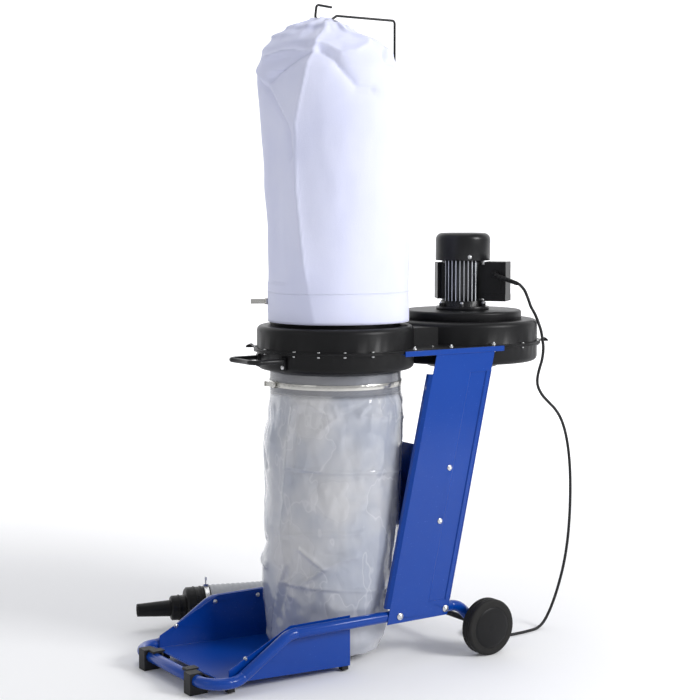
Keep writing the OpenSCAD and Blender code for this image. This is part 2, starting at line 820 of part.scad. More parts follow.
module lower_collar() {
    color("#55575c") {
        ring(collar_r, collar_r - collar_wall, drum_bottom - lower_collar_h, lower_collar_h);
        ring(collar_r - collar_wall / 2, collar_hole_r + 0.2, drum_bottom - 1.5, 1.5);
    }
}

// Bevelled plate and round port under the fan drum
module inlet_port() {
    color("#242426") translate([drum_pitch, 0, 0]) difference() {
        union() {
            rotate_extrude($fn = 96) polygon([[0, drum_bottom - 15], [bevel_r - 17, drum_bottom - 15],
                [bevel_r, drum_bottom - 5], [bevel_r, drum_bottom], [0, drum_bottom]]);
            translate([0, 0, port_z]) cylinder(r = port_r, h = drum_bottom - port_z);
        }
        translate([0, 0, port_z - 1]) cylinder(r = port_r - 2.5, h = drum_bottom - port_z + 2);
    }
}

// Round wire guard across the mouth of the inlet
module inlet_guard() {
    color("silver") translate([drum_pitch, 0, drum_bottom]) {
        ring(56, 51, 0, 2);
        for (r = [18, 36]) ring(r + 1, r - 1, 0, 2);
        for (a = [0 : 60 : 300]) rotate([0, 0, a]) translate([18, -1, 0.2]) cube([34, 2, 1.6]);
    }
}

// ---- Motor ----

module motor_plate() {
    round = 6;
    h = motor_z - drum_top;
    color("#2a2a2d") translate([drum_pitch, 0, drum_top]) difference() {
        rotate_extrude($fn = 96) difference() {
            union() {
                square([motor_plate_r - round, h]);
                square([motor_plate_r, h - round]);
                translate([motor_plate_r - round, h - round]) circle(r = round);
            }
            translate([base_r + 6, -1]) square([motor_plate_r - base_r - 9, h - 2]);
            translate([0, -1]) square([26, h + 2]);
        }
        for (a = base_angles) rotate([0, 0, a]) translate([base_r - 6, 0, h - 16]) cylinder(r = 2.7, h = 17);
    }
}

module motor_base() {
    color("#1c1c1e") translate([drum_pitch, 0, motor_z]) difference() {
        union() {
            cylinder(r = base_r, h = 8);
            cylinder(r = motor_r - 5, h = base_h);
            for (a = base_angles) rotate([0, 0, a]) translate([base_r - 6, 0, 0]) cylinder(r = 5.4, h = boss_h_low);
        }
        translate([0, 0, -1]) cylinder(r = shaft_r + 2, h = base_h + 2);
        translate([0, 0, lower_bearing_z - motor_z]) cylinder(r = bearing_out + 0.02, h = base_h);
        translate([0, 0, lower_bearing_z - motor_z + bearing_h]) cylinder(r = motor_r - 9, h = base_h);
        for (a = base_angles) rotate([0, 0, a]) translate([base_r - 6, 0, -1]) cylinder(r = 2.7, h = base_h + 2);
    }
}

module motor_body() {
    root_r = motor_r - 8;
    color("#9da1a6") translate([drum_pitch, 0, body_z]) difference() {
        linear_extrude(motor_len) union() {
            circle(r = root_r);
            for (i = [0 : fins - 1]) {
                a = (i + 0.5) * 360 / fins;
                if (min(abs(a - 360 - switch_angle), abs(a - cap_angle)) > 34)
                    rotate(a) translate([root_r - 1, -0.9]) square([motor_r - root_r + 1, 1.8]);
            }
        }
        translate([0, 0, -1]) cylinder(r = root_r - 4, h = motor_len - bearing_h - 6 + 1);
        translate([0, 0, -1]) cylinder(r = bearing_out + 0.02, h = motor_len + 2);
    }
}

module stator_core() {
    color("#a06a3c") translate([drum_pitch, 0, 0])
        ring(motor_r - 12.1, stator_in, body_z + 12, motor_len - 44);
}

module motor_screws() {
    color("silver") translate([drum_pitch, 0, 0]) {
        for (a = base_angles) rotate([0, 0, a]) translate([base_r - 6, 0, motor_z + boss_h_low]) {
            hex_prism(4.2, 3.6);
            translate([0, 0, -boss_h_low - 14]) cylinder(r = 2.5, h = boss_h_low + 14);
        }
        for (a = cowl_angles) rotate([0, 0, a]) translate([cowl_r, 0, cowl_z + 7]) rotate([0, 90, 0]) {
            translate([0, 0, 0.2]) cylinder(r = 5, h = 0.9);
            translate([0, 0, 1.1]) dome_head(3.6, 2);
        }
        for (a = plate_angles) rotate([0, 0, a]) translate([motor_plate_r - 4, 0, drum_top - 5]) cylinder(r = screw_r, h = 5);
    }
}

module fan_cowl() {
    round = 16;
    wall = 2.5;
    z0 = cowl_z - 2;
    h = cowl_h + 2;
    color("#1c1c1e") translate([drum_pitch, 0, z0]) difference() {
        rotate_extrude($fn = 96) difference() {
            union() {
                square([cowl_r - round, h]);
                square([cowl_r, h - round]);
                translate([cowl_r - round, h - round]) circle(r = round);
            }
            translate([0, -1]) square([cowl_r - wall - round, h - wall + 1]);
            translate([0, -1]) square([cowl_r - wall, h - round - wall + 1]);
            translate([cowl_r - wall - round, h - round - wall]) circle(r = round);
        }
        for (r = [16 : 9 : 43]) rotate_extrude(angle = 50) translate([r, h - 5]) square([4, 8]);
        for (r = [16 : 9 : 43]) rotate_extrude(angle = 50, start = 90) translate([r, h - 5]) square([4, 8]);
        for (r = [16 : 9 : 43]) rotate_extrude(angle = 50, start = 180) translate([r, h - 5]) square([4, 8]);
        for (r = [16 : 9 : 43]) rotate_extrude(angle = 50, start = 270) translate([r, h - 5]) square([4, 8]);
    }
    color("#1c1c1e") translate([drum_pitch, 0, 0]) for (a = cowl_angles) rotate([0, 0, a])
        translate([motor_r - 7, -6, cowl_z]) cube([cowl_r - wall - motor_r + 7.5, 12, 3]);
}

module rotor_shaft() {
    color("#b8bcc0") translate([drum_pitch, 0, impeller_z + 8])
        cylinder(r = shaft_r, h = cowl_z + 34 - impeller_z - 8);
}

module rotor_core() {
    color("#7c8086") translate([drum_pitch, 0, 0]) ring(rotor_core_r, shaft_r, body_z + 12, motor_len - 44);
}

module motor_bearings() {
    color("#c4c8cc") translate([drum_pitch, 0, 0]) for (z = [lower_bearing_z, upper_bearing_z])
        ring(bearing_out, shaft_r + run_fit, z, bearing_h);
}

module cooling_fan() {
    z = cowl_z + 10;
    color("#303033") translate([drum_pitch, 0, 0]) {
        ring(16, shaft_r, z, 18);
        ring(26, 15.9, z, 3);
        for (a = [0 : 45 : 315]) rotate([0, 0, a]) translate([25.9 - 10, -1, z + 3]) cube([cowl_r - 2.5 - 22, 2, 15]);
        ring(50, 26, z, 3);
    }
}

module impeller() {
    color("#8e9298") translate([drum_pitch, 0, 0]) {
        difference() {
            union() {
                translate([0, 0, impeller_z + impeller_h - 3]) cylinder(r = impeller_r, h = 3);
                translate([0, 0, impeller_z + impeller_h - hub_h]) cylinder(r = 20, h = hub_h);
                for (i = [0 : blades - 1]) rotate([0, 0, i * 360 / blades]) translate([19, -1.5, impeller_z + 12])
                    rotate([0, 0, -12]) cube([impeller_r - 26, 3, impeller_h - 14]);
            }
            translate([0, 0, impeller_z - 1]) cylinder(r = shaft_r, h = impeller_h + 2);
        }
    }
}

module impeller_bolt() {
    low = impeller_z + 8;
    color("silver") translate([drum_pitch, 0, low - 6]) {
        translate([0, 0, 0]) hex_prism(8, 6);
    }
}

module capacitor_box() {
    r0 = motor_r - 7.9;
    color("#1c1c1e") translate([drum_pitch, 0, body_z]) rotate([0, 0, cap_angle]) difference() {
        translate([r0 - 6, -28, 5]) cube([22, 56, motor_len - 12]);
        translate([0, 0, -1]) cylinder(r = r0, h = motor_len + 2);
        for (s = [-1, 1]) translate([r0 + 10, s * 30, -1]) rotate([0, 0, 45]) cube([10, 10, 2 * motor_len + 4], center = true);
    }
}

// Switch box on the motor, with its lid joint as a shallow groove
module switch_box() {
    r0 = motor_r - 7.9;
    color("#1c1c1e") translate([drum_pitch, 0, switch_low]) rotate([0, 0, switch_angle]) difference() {
        union() {
            translate([r0 - 6, -22, 6]) cube([motor_r + 4 - (r0 - 6), 44, switch_h - 18]);
            translate([motor_r + 3, -switch_w / 2 + 3, 16]) cube([switch_out - motor_r - 3, switch_w - 6, switch_h - 20]);
            translate([motor_r + 3, -switch_w / 2, 0]) cube([switch_out - motor_r - 3, switch_w, 16]);
        }
        translate([0, 0, -1]) cylinder(r = r0, h = switch_h + 2);
        translate([motor_r + 7, -switch_w / 2 + 7, 4]) cube([switch_out - motor_r - 11, switch_w - 14, switch_h - 12]);
        for (z = button_zs) translate([(motor_r + switch_out) / 2 + 2, switch_w / 2, z - body_z]) rotate([90, 0, 0])
            cylinder(r = 8 + run_fit, h = 20, center = true);
        translate([gland_u, -switch_w / 2, gland_z - body_z]) rotate([90, 0, 0])
            cylinder(r = 6.2, h = 20, center = true);
        translate([switch_out - 12, 0, 0]) difference() {
            translate([0, -switch_w / 2 - 1, 16.01]) cube([1.2, switch_w + 2, switch_h]);
            translate([-1, -switch_w / 2 + 4.2, 10]) cube([4, switch_w - 8.4, switch_h - 15.2]);
        }
    }
}

// Round push button in the switch box, travelling inwards
module button(z) {
    translate([drum_pitch, 0, z]) rotate([0, 0, switch_angle]) translate([(motor_r + switch_out) / 2 + 2, 0, 0])
        rotate([-90, 0, 0]) {
            translate([0, 0, switch_w / 2 - 12]) cylinder(r = 8, h = 16);
        }
}

module start_button() {
    color("green") button(button_zs[1]);
}

module stop_button() {
    color("red") button(button_zs[0]);
}

// Strain relief: a nut and a knuckle on the box wall, then a tapering ribbed sleeve bent outwards
relief_at = [drum_pitch + cos(switch_angle) * gland_u + sin(switch_angle) * switch_w / 2,
    sin(switch_angle) * gland_u - cos(switch_angle) * switch_w / 2, gland_z];
relief_knee = relief_at + 15 * [sin(switch_angle), -cos(switch_angle), 0];
relief_tip = cord_pts[0];

module strain_relief() {
    d = relief_tip - relief_knee;
    len = norm(d);
    color("#1c1c1e") {
        translate(relief_at) rotate([0, 0, switch_angle]) rotate([90, 0, 0]) {
            translate([0, 0, -6]) cylinder(r = 6, h = 21);
            translate([0, 0, 0.1]) cylinder(r = 9, h = 5);
        }
        translate(relief_knee) rotate([0, acos(d[2] / len), atan2(d[1], d[0])]) rotate_extrude()
            polygon(concat([[0, 2], [5.5, 2]], [for (i = [1 : 6]) each [[5.5 - 0.1 * i, i * len / 7],
                [6.5 - 0.2 * i, i * len / 7 + 0.2], [6.5 - 0.2 * i, i * len / 7 + 2.4], [5.5 - 0.1 * i, i * len / 7 + 2.6]]],
                [[cord_d / 2 + 1, len], [0, len]]));
    }
}

// ---- Hanger and bags ----

module hanger_rod() {
    color("#1c1c1e") rotate([90, 0, 0]) bent_rod(arm_pts, rod_r, rod_bend);
}

module hanger_boss() {
    color("#1c1c1e") translate([post_x, 0, drum_top]) difference() {
        cylinder(r = boss_r, h = boss_h);
        translate([0, 0, -1]) cylinder(r = rod_r + slip, h = boss_h + 2);
        translate([-post_x, 0, -1]) cylinder(r = hem_out + band_t + seam + 1, h = boss_h + 2);
    }
}

// Outer shape of the filter bag as radius and height pairs
bag_shape = [[hem_out, hem_z], [hem_out, hem_z + 70], [filter_bag_r - 2, hem_z + 160], [filter_bag_r, hem_z + 300],
    [filter_bag_r, filter_bag_top - 150], [filter_bag_r - 14, filter_bag_top - 95],
    [filter_bag_r - 50, filter_bag_top - 45], [70, filter_bag_top - 18], [8, filter_bag_top]];

module filter_bag() {
    n = len(bag_shape);
    inner = [for (i = [n - 1 : -1 : 0]) [max(bag_shape[i][0] - cloth_t, 0), bag_shape[i][1] - (i > 3 ? cloth_t : 0)]];
    color("#e8ecff") rotate_extrude($fn = 72) polygon(concat(bag_shape, [[0, filter_bag_top], [0, filter_bag_top - cloth_t]],
        [for (p = inner) if (p[0] > 0) p]));
}

module collection_bag() {
    r = dust_bag_r;
    z = dust_bag_z;
    top = drum_bottom - 6;
    t = 1.2;
    low = drum_bottom - lower_collar_h - 30;
    color([0.8, 0.82, 0.86, 0.6]) rotate_extrude($fn = 72) polygon([[0, z], [r - 40, z], [r - 10, z + 14], [r, z + 45],
        [r, low - 60], [dust_hem_out, low], [dust_hem_out, top], [hem_in, top], [hem_in, low],
        [r - t, low - 60], [r - t, z + 45], [r - 11, z + 16], [r - 40, z + t], [0, z + t]]);
}

// Steel band with the ears that carry the latch pin
module band(r_in, z, angle) {
    r = r_in + seam;
    ring(r + band_t, r, z, band_h);
    rotate([0, 0, angle]) translate([r + band_t, 0, z]) difference() {
        union() {
            translate([-0.4, -6, -1]) cube([9, 12, 1.2]);
            translate([-0.4, -6, band_h - 0.2]) cube([9, 12, 1.2]);
            translate([-0.3, -6, -1]) cube([1, 12, band_h + 2]);
            translate([0.4, -14, 1]) cube([4, 7, band_h - 2]);
        }
    }
    rotate([0, 0, angle]) translate([r + band_t + 5.5, 0, z - 1]) cylinder(r = pin_r, h = band_h + 2);
}

// Draw latch lever on the pin of its band, lying along dir from the pin
module latch(r_in, z, angle, dir) {
    r = r_in + seam + band_t + 5.5;
    rotate([0, 0, angle]) translate([r, 0, z + 0.4]) rotate([0, 0, dir]) difference() {
        union() {
            cylinder(r = 3.4, h = band_h - 0.8);
            translate([1, -0.75, 0]) cube([latch_len, 1.5, band_h - 0.8]);
            translate([latch_len, -0.75, 0]) cube([1.2, 4, band_h - 0.8]);
        }
        translate([0, 0, -1]) cylinder(r = pin_r + run_fit, h = band_h + 2);
    }
}

module upper_band() {
    color("#b8bcc0") band(hem_out, upper_band_z, upper_latch_angle);
}

module upper_latch() {
    color("#a8acb0") latch(hem_out, upper_band_z, upper_latch_angle, 0);
}

module lower_band() {
    color("#b8bcc0") band(dust_hem_out, lower_band_z, lower_latch_angle);
}

module lower_latch() {
    color("#a8acb0") latch(dust_hem_out, lower_band_z, lower_latch_angle, -82);
}

// ---- Hose and cord ----

function unit(v) = v / norm(v);
function tangent(p, i) = unit(p[min(i + 1, len(p) - 1)] - p[max(i - 1, 0)]);
// Side vector carried from ring to ring, so that the tube doesn't twist
function carried(p, i, v) = let (t = tangent(p, i)) unit(v - (v * t) * t);
function sides(p, i, v) = i == len(p) ? [] : let (s = carried(p, i, v)) concat([s], sides(p, i + 1, s));

// One closed tube along a list of points
module swept(p, r, n, first) {
    side = sides(p, 0, first);
    m = len(p);
    rings = [for (i = [0 : m - 1]) let (t = tangent(p, i), s = side[i], u = cross(t, s))
        for (k = [0 : n - 1]) p[i] + r * (cos(360 * k / n) * s + sin(360 * k / n) * u)];
    walls = [for (i = [0 : m - 2]) for (k = [0 : n - 1])
        let (a = i * n + k, b = i * n + (k + 1) % n) each [[a, a + n, b], [b, a + n, b + n]]];
    caps = [[for (k = [0 : n - 1]) k], [for (k = [n - 1 : -1 : 0]) (m - 1) * n + k]];
    polyhedron(points = rings, faces = concat(walls, caps), convexity = 6);
}

module suction_hose() {
    color("#b9bcc0") swept(hose_pts, hose_r, 12, [1, 0, 0]);
}

module at_hose_end() {
    translate(hose_end) rotate([0, 0, hose_turn]) rotate([0, 90, 0]) translate([0, 0, lap]) children();
}

module hose_clamps() {
    color("silver") {
        translate([drum_pitch, 0, port_z + 6]) ring(port_r + 1.5, port_r + 0.3, 0, clamp_w);
        at_hose_end() {
            ring(adapter_r[0] + 1.6, adapter_r[0] + 0.3, 3, clamp_w);
            translate([-adapter_r[0] - 7, -5, 3]) cube([5.4, 10, clamp_w]);
            translate([-adapter_r[0] - 17, 0, 3 + clamp_w / 2]) rotate([0, 90, 0]) cylinder(r = 2, h = 10.2);
            translate([-adapter_r[0] - 25, -6, 3 + clamp_w / 2 - 1.5]) cube([8.2, 12, 3]);
        }
    }
}

module hose_adapter() {
    r = adapter_r;
    l = adapter_len;
    color("#1c1c1e") at_hose_end() difference() {
        rotate_extrude() polygon([[0, 0], [r[0], 0], [r[0], l[0] - 4], [r[0] - 4, l[0]], [r[1], l[0] + 2],
            [r[1], l[0] + l[1] - 3], [r[1] - 3, l[0] + l[1]], [r[2] + 2, l[0] + l[1] + 1],
            [r[3], l[0] + l[1] + l[2]], [0, l[0] + l[1] + l[2]]]);
        translate([0, 0, -1]) cylinder(r = r[0] - 3, h = l[0] - 7);
        translate([0, 0, l[0] - 9]) cylinder(r = r[1] - 3, h = l[1]);
        translate([0, 0, l[0] + l[1] - 12]) cylinder(r = r[3] - 2.5, h = l[2] + 14);
    }
    color("#1c1c1e") at_hose_end() {
        for (z = [20, 36]) ring(r[0] + 1.4, r[0], z, 4);
        ring(r[1] + 1.4, r[1], l[0] + 14, 4);
    }
}

cord_out = (relief_tip - relief_knee) / norm(relief_tip - relief_knee);
cord_path = concat([relief_tip, relief_tip + 3 * cord_out], [for (i = [1 : len(cord_pts) - 1]) cord_pts[i]]);

module mains_cord() {
    color("#1a1a1a") swept(cord_path, cord_d / 2, 8, [0, 0, 1]);
}

module cord_coil() {
    h = coil_rows * cord_d;
    color("#1a1a1a") translate([coil_at[0], coil_at[1], 0]) rotate_extrude() polygon([[coil_inner, 0.1],
        [coil_outer, 0.1], [coil_outer, h], [coil_inner, h]]);
}

// Moulded plug with two round pins, lying flat beside the coil
module plug() {
    color("#1a1a1a") translate([plug_at[0], plug_at[1], 0]) {
        translate([0, 0, 13.6]) rotate([0, 90, 0]) cylinder(r = 13.5, h = 26);
        translate([-plug_tail, 0, 13.6]) rotate([0, 90, 0]) cylinder(r1 = 5, r2 = 12, h = plug_tail);
    }
    color("silver") translate([plug_at[0], plug_at[1], 0])
        for (s = [-1, 1]) translate([26, s * 9.5, 13.6]) rotate([0, 90, 0]) cylinder(r = 2.4, h = 19);
}

placed() base_frame();
placed() axle();
placed() wheel_clips();
placed() wheel_tyre_left();
placed() wheel_tyre_right();
placed() wheel_hub_left();
placed() wheel_hub_right();
placed() front_foot_left();
placed() front_foot_right();
placed() tray();
placed() tray_pads();
placed() tray_bolts();
placed() column_left();
placed() column_right();
placed() column_bolts();
placed() brace_panel();
placed() top_rail_left();
placed() top_rail_right();
placed() rail_bolts();
placed() housing_lower();
placed() housing_upper();
placed() flange_gasket();
placed() housing_screws();
placed() carry_handle();
placed() handle_bolts();
placed() upper_collar();
placed() lower_collar();
placed() inlet_port();
placed() inlet_guard();
placed() motor_plate();
placed() motor_base();
placed() motor_body();
placed() stator_core();
placed() fan_cowl();
placed() motor_screws();
placed() rotor_shaft();
placed() rotor_core();
placed() motor_bearings();
placed() cooling_fan();
placed() impeller();
placed() impeller_bolt();
placed() capacitor_box();
placed() switch_box();
placed() start_button();
placed() stop_button();
placed() strain_relief();
placed() hanger_rod();
placed() hanger_boss();
placed() filter_bag();
placed() upper_band();
placed() upper_latch();
placed() collection_bag();
placed() lower_band();
placed() lower_latch();
placed() suction_hose();
placed() hose_clamps();
placed() hose_adapter();
placed() mains_cord();
placed() cord_coil();
placed() plug();
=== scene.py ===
"""A single-bag dust collector on its trolley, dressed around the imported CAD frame."""

import math

import bpy
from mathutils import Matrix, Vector, noise


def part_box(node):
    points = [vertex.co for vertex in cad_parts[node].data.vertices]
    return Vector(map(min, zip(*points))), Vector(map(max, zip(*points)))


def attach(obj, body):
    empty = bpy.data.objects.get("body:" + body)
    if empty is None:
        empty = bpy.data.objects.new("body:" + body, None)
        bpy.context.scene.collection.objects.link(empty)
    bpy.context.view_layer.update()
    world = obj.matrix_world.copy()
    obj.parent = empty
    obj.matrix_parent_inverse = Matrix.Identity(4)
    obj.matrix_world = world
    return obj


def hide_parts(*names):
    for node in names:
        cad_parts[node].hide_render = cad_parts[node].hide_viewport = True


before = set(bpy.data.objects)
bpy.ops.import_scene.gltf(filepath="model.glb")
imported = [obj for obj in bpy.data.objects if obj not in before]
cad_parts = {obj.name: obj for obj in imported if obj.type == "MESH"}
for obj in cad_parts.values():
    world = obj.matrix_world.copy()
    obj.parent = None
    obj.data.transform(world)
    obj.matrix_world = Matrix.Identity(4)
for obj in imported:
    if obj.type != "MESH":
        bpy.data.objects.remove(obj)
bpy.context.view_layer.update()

# ---------------------------------------------------------------- Camera and studio
# The camera stands in front of the tray side, a little above the height of the housing.
# The floor and the wall are one pale sheet of paper, lit by three large soft lamps; the paper also glows with
# painted light that grows from nothing near the machine to full on the far wall.

camera = bpy.data.objects.new("camera", bpy.data.cameras.new("camera"))
bpy.context.scene.collection.objects.link(camera)
camera.location = (-1.985, -2.923, 1.018)
camera_turn = math.radians(-33.97)
camera.rotation_euler = (math.radians(90 - 4.95), 0, camera_turn)
camera.data.sensor_width = 36
camera.data.lens = 78.65
camera.data.shift_x = 0.0006
camera.data.shift_y = -0.0074
bpy.context.scene.camera = camera
bpy.context.scene.view_settings.view_transform = "Standard"


class Sock:
    """A socket of a node tree that can be used in plain arithmetic."""

    def __init__(self, tree, out=None):
        self.tree, self.out = tree, out

    def put(self, socket, value):
        if isinstance(value, Sock):
            self.tree.links.new(value.out, socket)
        else:
            socket.default_value = value

    def node(self, kind, settings=None, links=None, out=0):
        made = self.tree.nodes.new(kind)
        for key, value in (settings or {}).items():
            setattr(made, key, value)
        for key, value in (links or {}).items():
            self.put(made.inputs[key], value)
        return Sock(self.tree, made.outputs[out])

    def math(self, operation, a, b=0.0):
        return self.node("ShaderNodeMath", {"operation": operation}, {0: a, 1: b})

    def __add__(self, other):
        return self.math("ADD", self, other)

    def __sub__(self, other):
        return self.math("SUBTRACT", self, other)

    def __mul__(self, other):
        return self.math("MULTIPLY", self, other)

    def __rsub__(self, other):
        return self.math("SUBTRACT", other, self)

    __radd__ = __add__
    __rmul__ = __mul__

    def above(self, edge, soft):
        return self.node("ShaderNodeMapRange", {"interpolation_type": "SMOOTHSTEP"},
                         {"Value": self, "From Min": edge - soft, "From Max": edge + soft})

    def mix(self, a, b):
        links = {"Factor": self, 6: a, 7: b}
        return self.node("ShaderNodeMix", {"data_type": "RGBA"}, links, out=2)

    def place(self, scale=(1, 1, 1)):
        where = self.node("ShaderNodeTexCoord", out=3)
        return self.node("ShaderNodeVectorMath", {"operation": "MULTIPLY"}, {0: where, 1: scale})

    def noise(self, scale, stretch=(1, 1, 1), detail=3.0, rough=0.55):
        return self.node("ShaderNodeTexNoise", {}, {"Vector": self.place(stretch), "Scale": scale,
                                                    "Detail": detail, "Roughness": rough})

    def bump(self, height, distance, strength=1.0):
        return self.node("ShaderNodeBump", {}, {"Height": height, "Distance": distance, "Strength": strength})


def new_material(name, **values):
    """A material with a Principled shader; returns it, its tree as a Sock and the shader node."""
    made = bpy.data.materials.new(name)
    made.use_nodes = True
    shader = made.node_tree.nodes["Principled BSDF"]
    for key, value in values.items():
        shader.inputs[key.replace("_", " ")].default_value = value
    return made, Sock(made.node_tree), shader


paper, t, shader = new_material("paper", Roughness=0.9, Emission_Strength=0.55)
t.put(shader.inputs["Base Color"], (t.noise(3.0) * 0.02).mix((0.93, 0.93, 0.94, 1), (0.88, 0.88, 0.9, 1)))
# Painted light: the paper glows more the further it lies from the camera side, so the far floor and wall read
# brighter than the lamps make them.
backdrop_glow_depth = t.node("ShaderNodeSeparateXYZ", {}, {0: t.place()}, out=1)
t.put(shader.inputs["Emission Color"], backdrop_glow_depth.above(1.9, 1.6).mix((0, 0, 0, 1), (1, 1, 1, 1)))
sweep, sweep_start = 2.4, 2.6
verts = [(-9, -9, 0), (9, -9, 0)]
for i in range(25):
    a = math.radians(90 * i / 24)
    verts += [(x, sweep_start + sweep * math.sin(a), sweep - sweep * math.cos(a)) for x in (-9, 9)]
verts += [(-9, 5.0, 9), (9, 5.0, 9)]
floor_mesh = bpy.data.meshes.new("floor")
floor_mesh.from_pydata(verts, [], [(i, i + 1, i + 3, i + 2) for i in range(0, len(verts) - 2, 2)])
floor_mesh.shade_smooth()
floor = bpy.data.objects.new("floor", floor_mesh)
floor.rotation_euler = (0, 0, camera_turn)
bpy.context.scene.collection.objects.link(floor)
floor.data.materials.append(paper)

world = bpy.data.worlds.new("studio")
bpy.context.scene.world = world
world.use_nodes = True
world.node_tree.nodes["Background"].inputs["Color"].default_value = (0.97, 0.98, 1.0, 1)
world.node_tree.nodes["Background"].inputs["Strength"].default_value = 0.50

for name, spot, size, watts, aim in (
    ("key", (1.7, -3.1, 2.2), 1.3, 100, (0, 0, 0.8)),
    ("side", (-3.4, -0.4, 2.0), 1.2, 6, (0, 0, 0.8)),
    ("top", (0.4, 0.6, 4.0), 2.4, 22, (0, 0, 0.8)),
):
    lamp = bpy.data.lights.new(name, "AREA")
    lamp.size = size
    lamp.energy = watts
    obj = bpy.data.objects.new(name, lamp)
    obj.location = spot
    obj.rotation_euler = (Vector(aim) - Vector(spot)).to_track_quat("-Z", "Y").to_euler()
    bpy.context.scene.collection.objects.link(obj)

# ---------------------------------------------------------------- Suction hose
# Grey ribbed plastic hose, 100 mm, wound from a strip with a stiff spiral.
# It hangs from the inlet port, passes over the far wheel and lies along the floor.


def smooth_path(points, step):
    """Points a step apart on a smooth line through the given ones."""
    pts = [Vector(p) for p in points]
    ext = [2 * pts[0] - pts[1]] + pts + [2 * pts[-1] - pts[-2]]
    line = []
    for i in range(1, len(ext) - 2):
        p0, p1, p2, p3 = ext[i - 1:i + 3]
        parts = max(1, round((p2 - p1).length / step))
        for k in range(parts):
            u = k / parts
            line.append(0.5 * (2 * p1 + (p2 - p0) * u + (2 * p0 - 5 * p1 + 4 * p2 - p3) * u ** 2
                               + (3 * p1 - p0 - 3 * p2 + p3) * u ** 3))
    return line + [pts[-1]]


def tube(name, line, radius, sides, material, closed=True):
    """A tube along a line; radius is a function of the length so far and the angle round."""
    verts, faces = [], []
    side = (line[1] - line[0]).orthogonal().normalized()
    gone = 0.0
    for i, p in enumerate(line):
        along = (line[min(i + 1, len(line) - 1)] - line[max(i - 1, 0)]).normalized()
        side = (side - along * side.dot(along)).normalized()
        up = along.cross(side)
        if i:
            gone += (p - line[i - 1]).length
        for k in range(sides):
            a = 2 * math.pi * k / sides
            verts.append(p + (side * math.cos(a) + up * math.sin(a)) * radius(gone, a))
    for i in range(len(line) - 1):
        for k in range(sides):
            a, b = i * sides + k, i * sides + (k + 1) % sides
            faces.append((a, b, b + sides, a + sides))
    if closed:
        faces.append(tuple(reversed(range(sides))))
        faces.append(tuple(range((len(line) - 1) * sides, len(line) * sides)))
    mesh = bpy.data.meshes.new(name)
    mesh.from_pydata([tuple(v) for v in verts], [], faces)
    mesh.shade_smooth()
    obj = bpy.data.objects.new(name, mesh)
    bpy.context.scene.collection.objects.link(obj)
    mesh.materials.append(material)
    return obj, gone


hose_grey, t, shader = new_material("grey hose", Specular_IOR_Level=0.45)
grime = t.noise(9.0, detail=5.0)
t.put(shader.inputs["Base Color"], grime.mix((0.33, 0.34, 0.36, 1), (0.47, 0.48, 0.5, 1)))
t.put(shader.inputs["Roughness"], 0.34 + grime * 0.22)
t.put(shader.inputs["Normal"], t.bump(t.noise(420.0), 0.0003, 0.6))

shift = 0.05475  # from the bag axis to the middle of the machine
hose_line = smooth_path([(x / 1000 - shift, y / 1000, z / 1000) for x, y, z in (
    (370, 0, 590), (370, 0, 562), (368, 7, 524), (361, 26, 480), (353, 54, 434), (342, 90, 386), (328, 131, 338),
    (310, 172, 292), (287, 208, 248), (258, 238, 206), (222, 260, 166), (181, 275, 129), (137, 284, 98),
    (91, 289, 73), (44, 292, 58), (-3, 298, 52), (-50, 309, 52), (-94, 324, 52), (-130, 336, 52),
    (-148, 342, 52))], 0.0032)
rib_pitch, rib_height, hose_wall = 0.0125, 0.0020, 0.0492


def rib(gone, a):
    """Radius of the hose at a length and an angle, with one spiral rib a turn."""
    return hose_wall + rib_height * (0.5 + 0.5 * math.cos(2 * math.pi * gone / rib_pitch - a)) ** 0.6


hose, hose_len = tube("hose", hose_line, rib, 44, hose_grey)
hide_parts("suction_hose")
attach(hose, "trolley")

# ---------------------------------------------------------------- Mains cord
# Black rubber flex, 7 mm, from the strain relief over the housing to the floor.
# The rest of it lies as a small flat coil behind the near wheel, tied, with its plug beside it.

black_rubber, t, shader = new_material("black rubber", Specular_IOR_Level=0.25)
dust = t.noise(30.0, detail=5.0)
t.put(shader.inputs["Base Color"], dust.mix((0.012, 0.012, 0.013, 1), (0.03, 0.03, 0.032, 1)))
t.put(shader.inputs["Roughness"], 0.42 + dust * 0.25)
t.put(shader.inputs["Normal"], t.bump(t.noise(900.0), 0.00015, 0.5))

run_points = [
    (432, -133, 849), (434.2, -134.8, 848), (447, -139, 834), (461, -137, 812), (474, -132, 793),
    (486, -133, 775), (495, -135, 755), (504, -135, 734), (510, -134, 712), (513, -134, 690),
    (511, -132, 664), (506, -128, 640), (503, -125, 618), (506, -124, 598), (517, -127, 577),
    (533, -134, 558), (548, -140, 541), (561, -146, 518), (571, -151, 486), (578, -155, 444),
    (582, -158, 392), (584, -158, 332), (583, -157, 272), (580, -154, 214), (574, -149, 160),
    (566, -142, 112), (556, -135, 70), (543, -130, 36), (526, -129, 13), (503, -134, 4),
    (478, -140, 3.7), (453, -143, 3.7), (426, -143.6, 3.7), (399, -143.6, 3.7), (372, -143.6, 3.7),
]
coil_points = []
for i in range(1, 85):
    turn = i / 24
    a = math.radians(-90 - 360 * turn)
    enter = min(1.0, turn / 0.3)
    inner = max(0.0, min(1.0, (turn - 0.85) / 0.2)) - max(0.0, min(1.0, (turn - 2.6) / 0.25))
    lift = max(0.0, min(1.0, (turn - 1.75) / 0.3))
    r = 48.6 - 7.1 * enter - 7.0 * inner
    coil_points.append((368 + r * math.cos(a), -95 + r * math.sin(a), 3.7 + 7.0 * lift))
plug_end = [(376, -53.5, 10.9), (386, -53.5, 12.2), (395.5, -53.5, 13.6)]
cord_points = run_points + coil_points + plug_end
cord_line = smooth_path([(x / 1000 - shift, y / 1000, z / 1000) for x, y, z in cord_points], 0.006)
cord, cord_len = tube("mains_flex", cord_line, lambda s, a: 0.0035, 12, black_rubber)
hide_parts("mains_cord", "cord_coil")
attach(cord, "trolley")

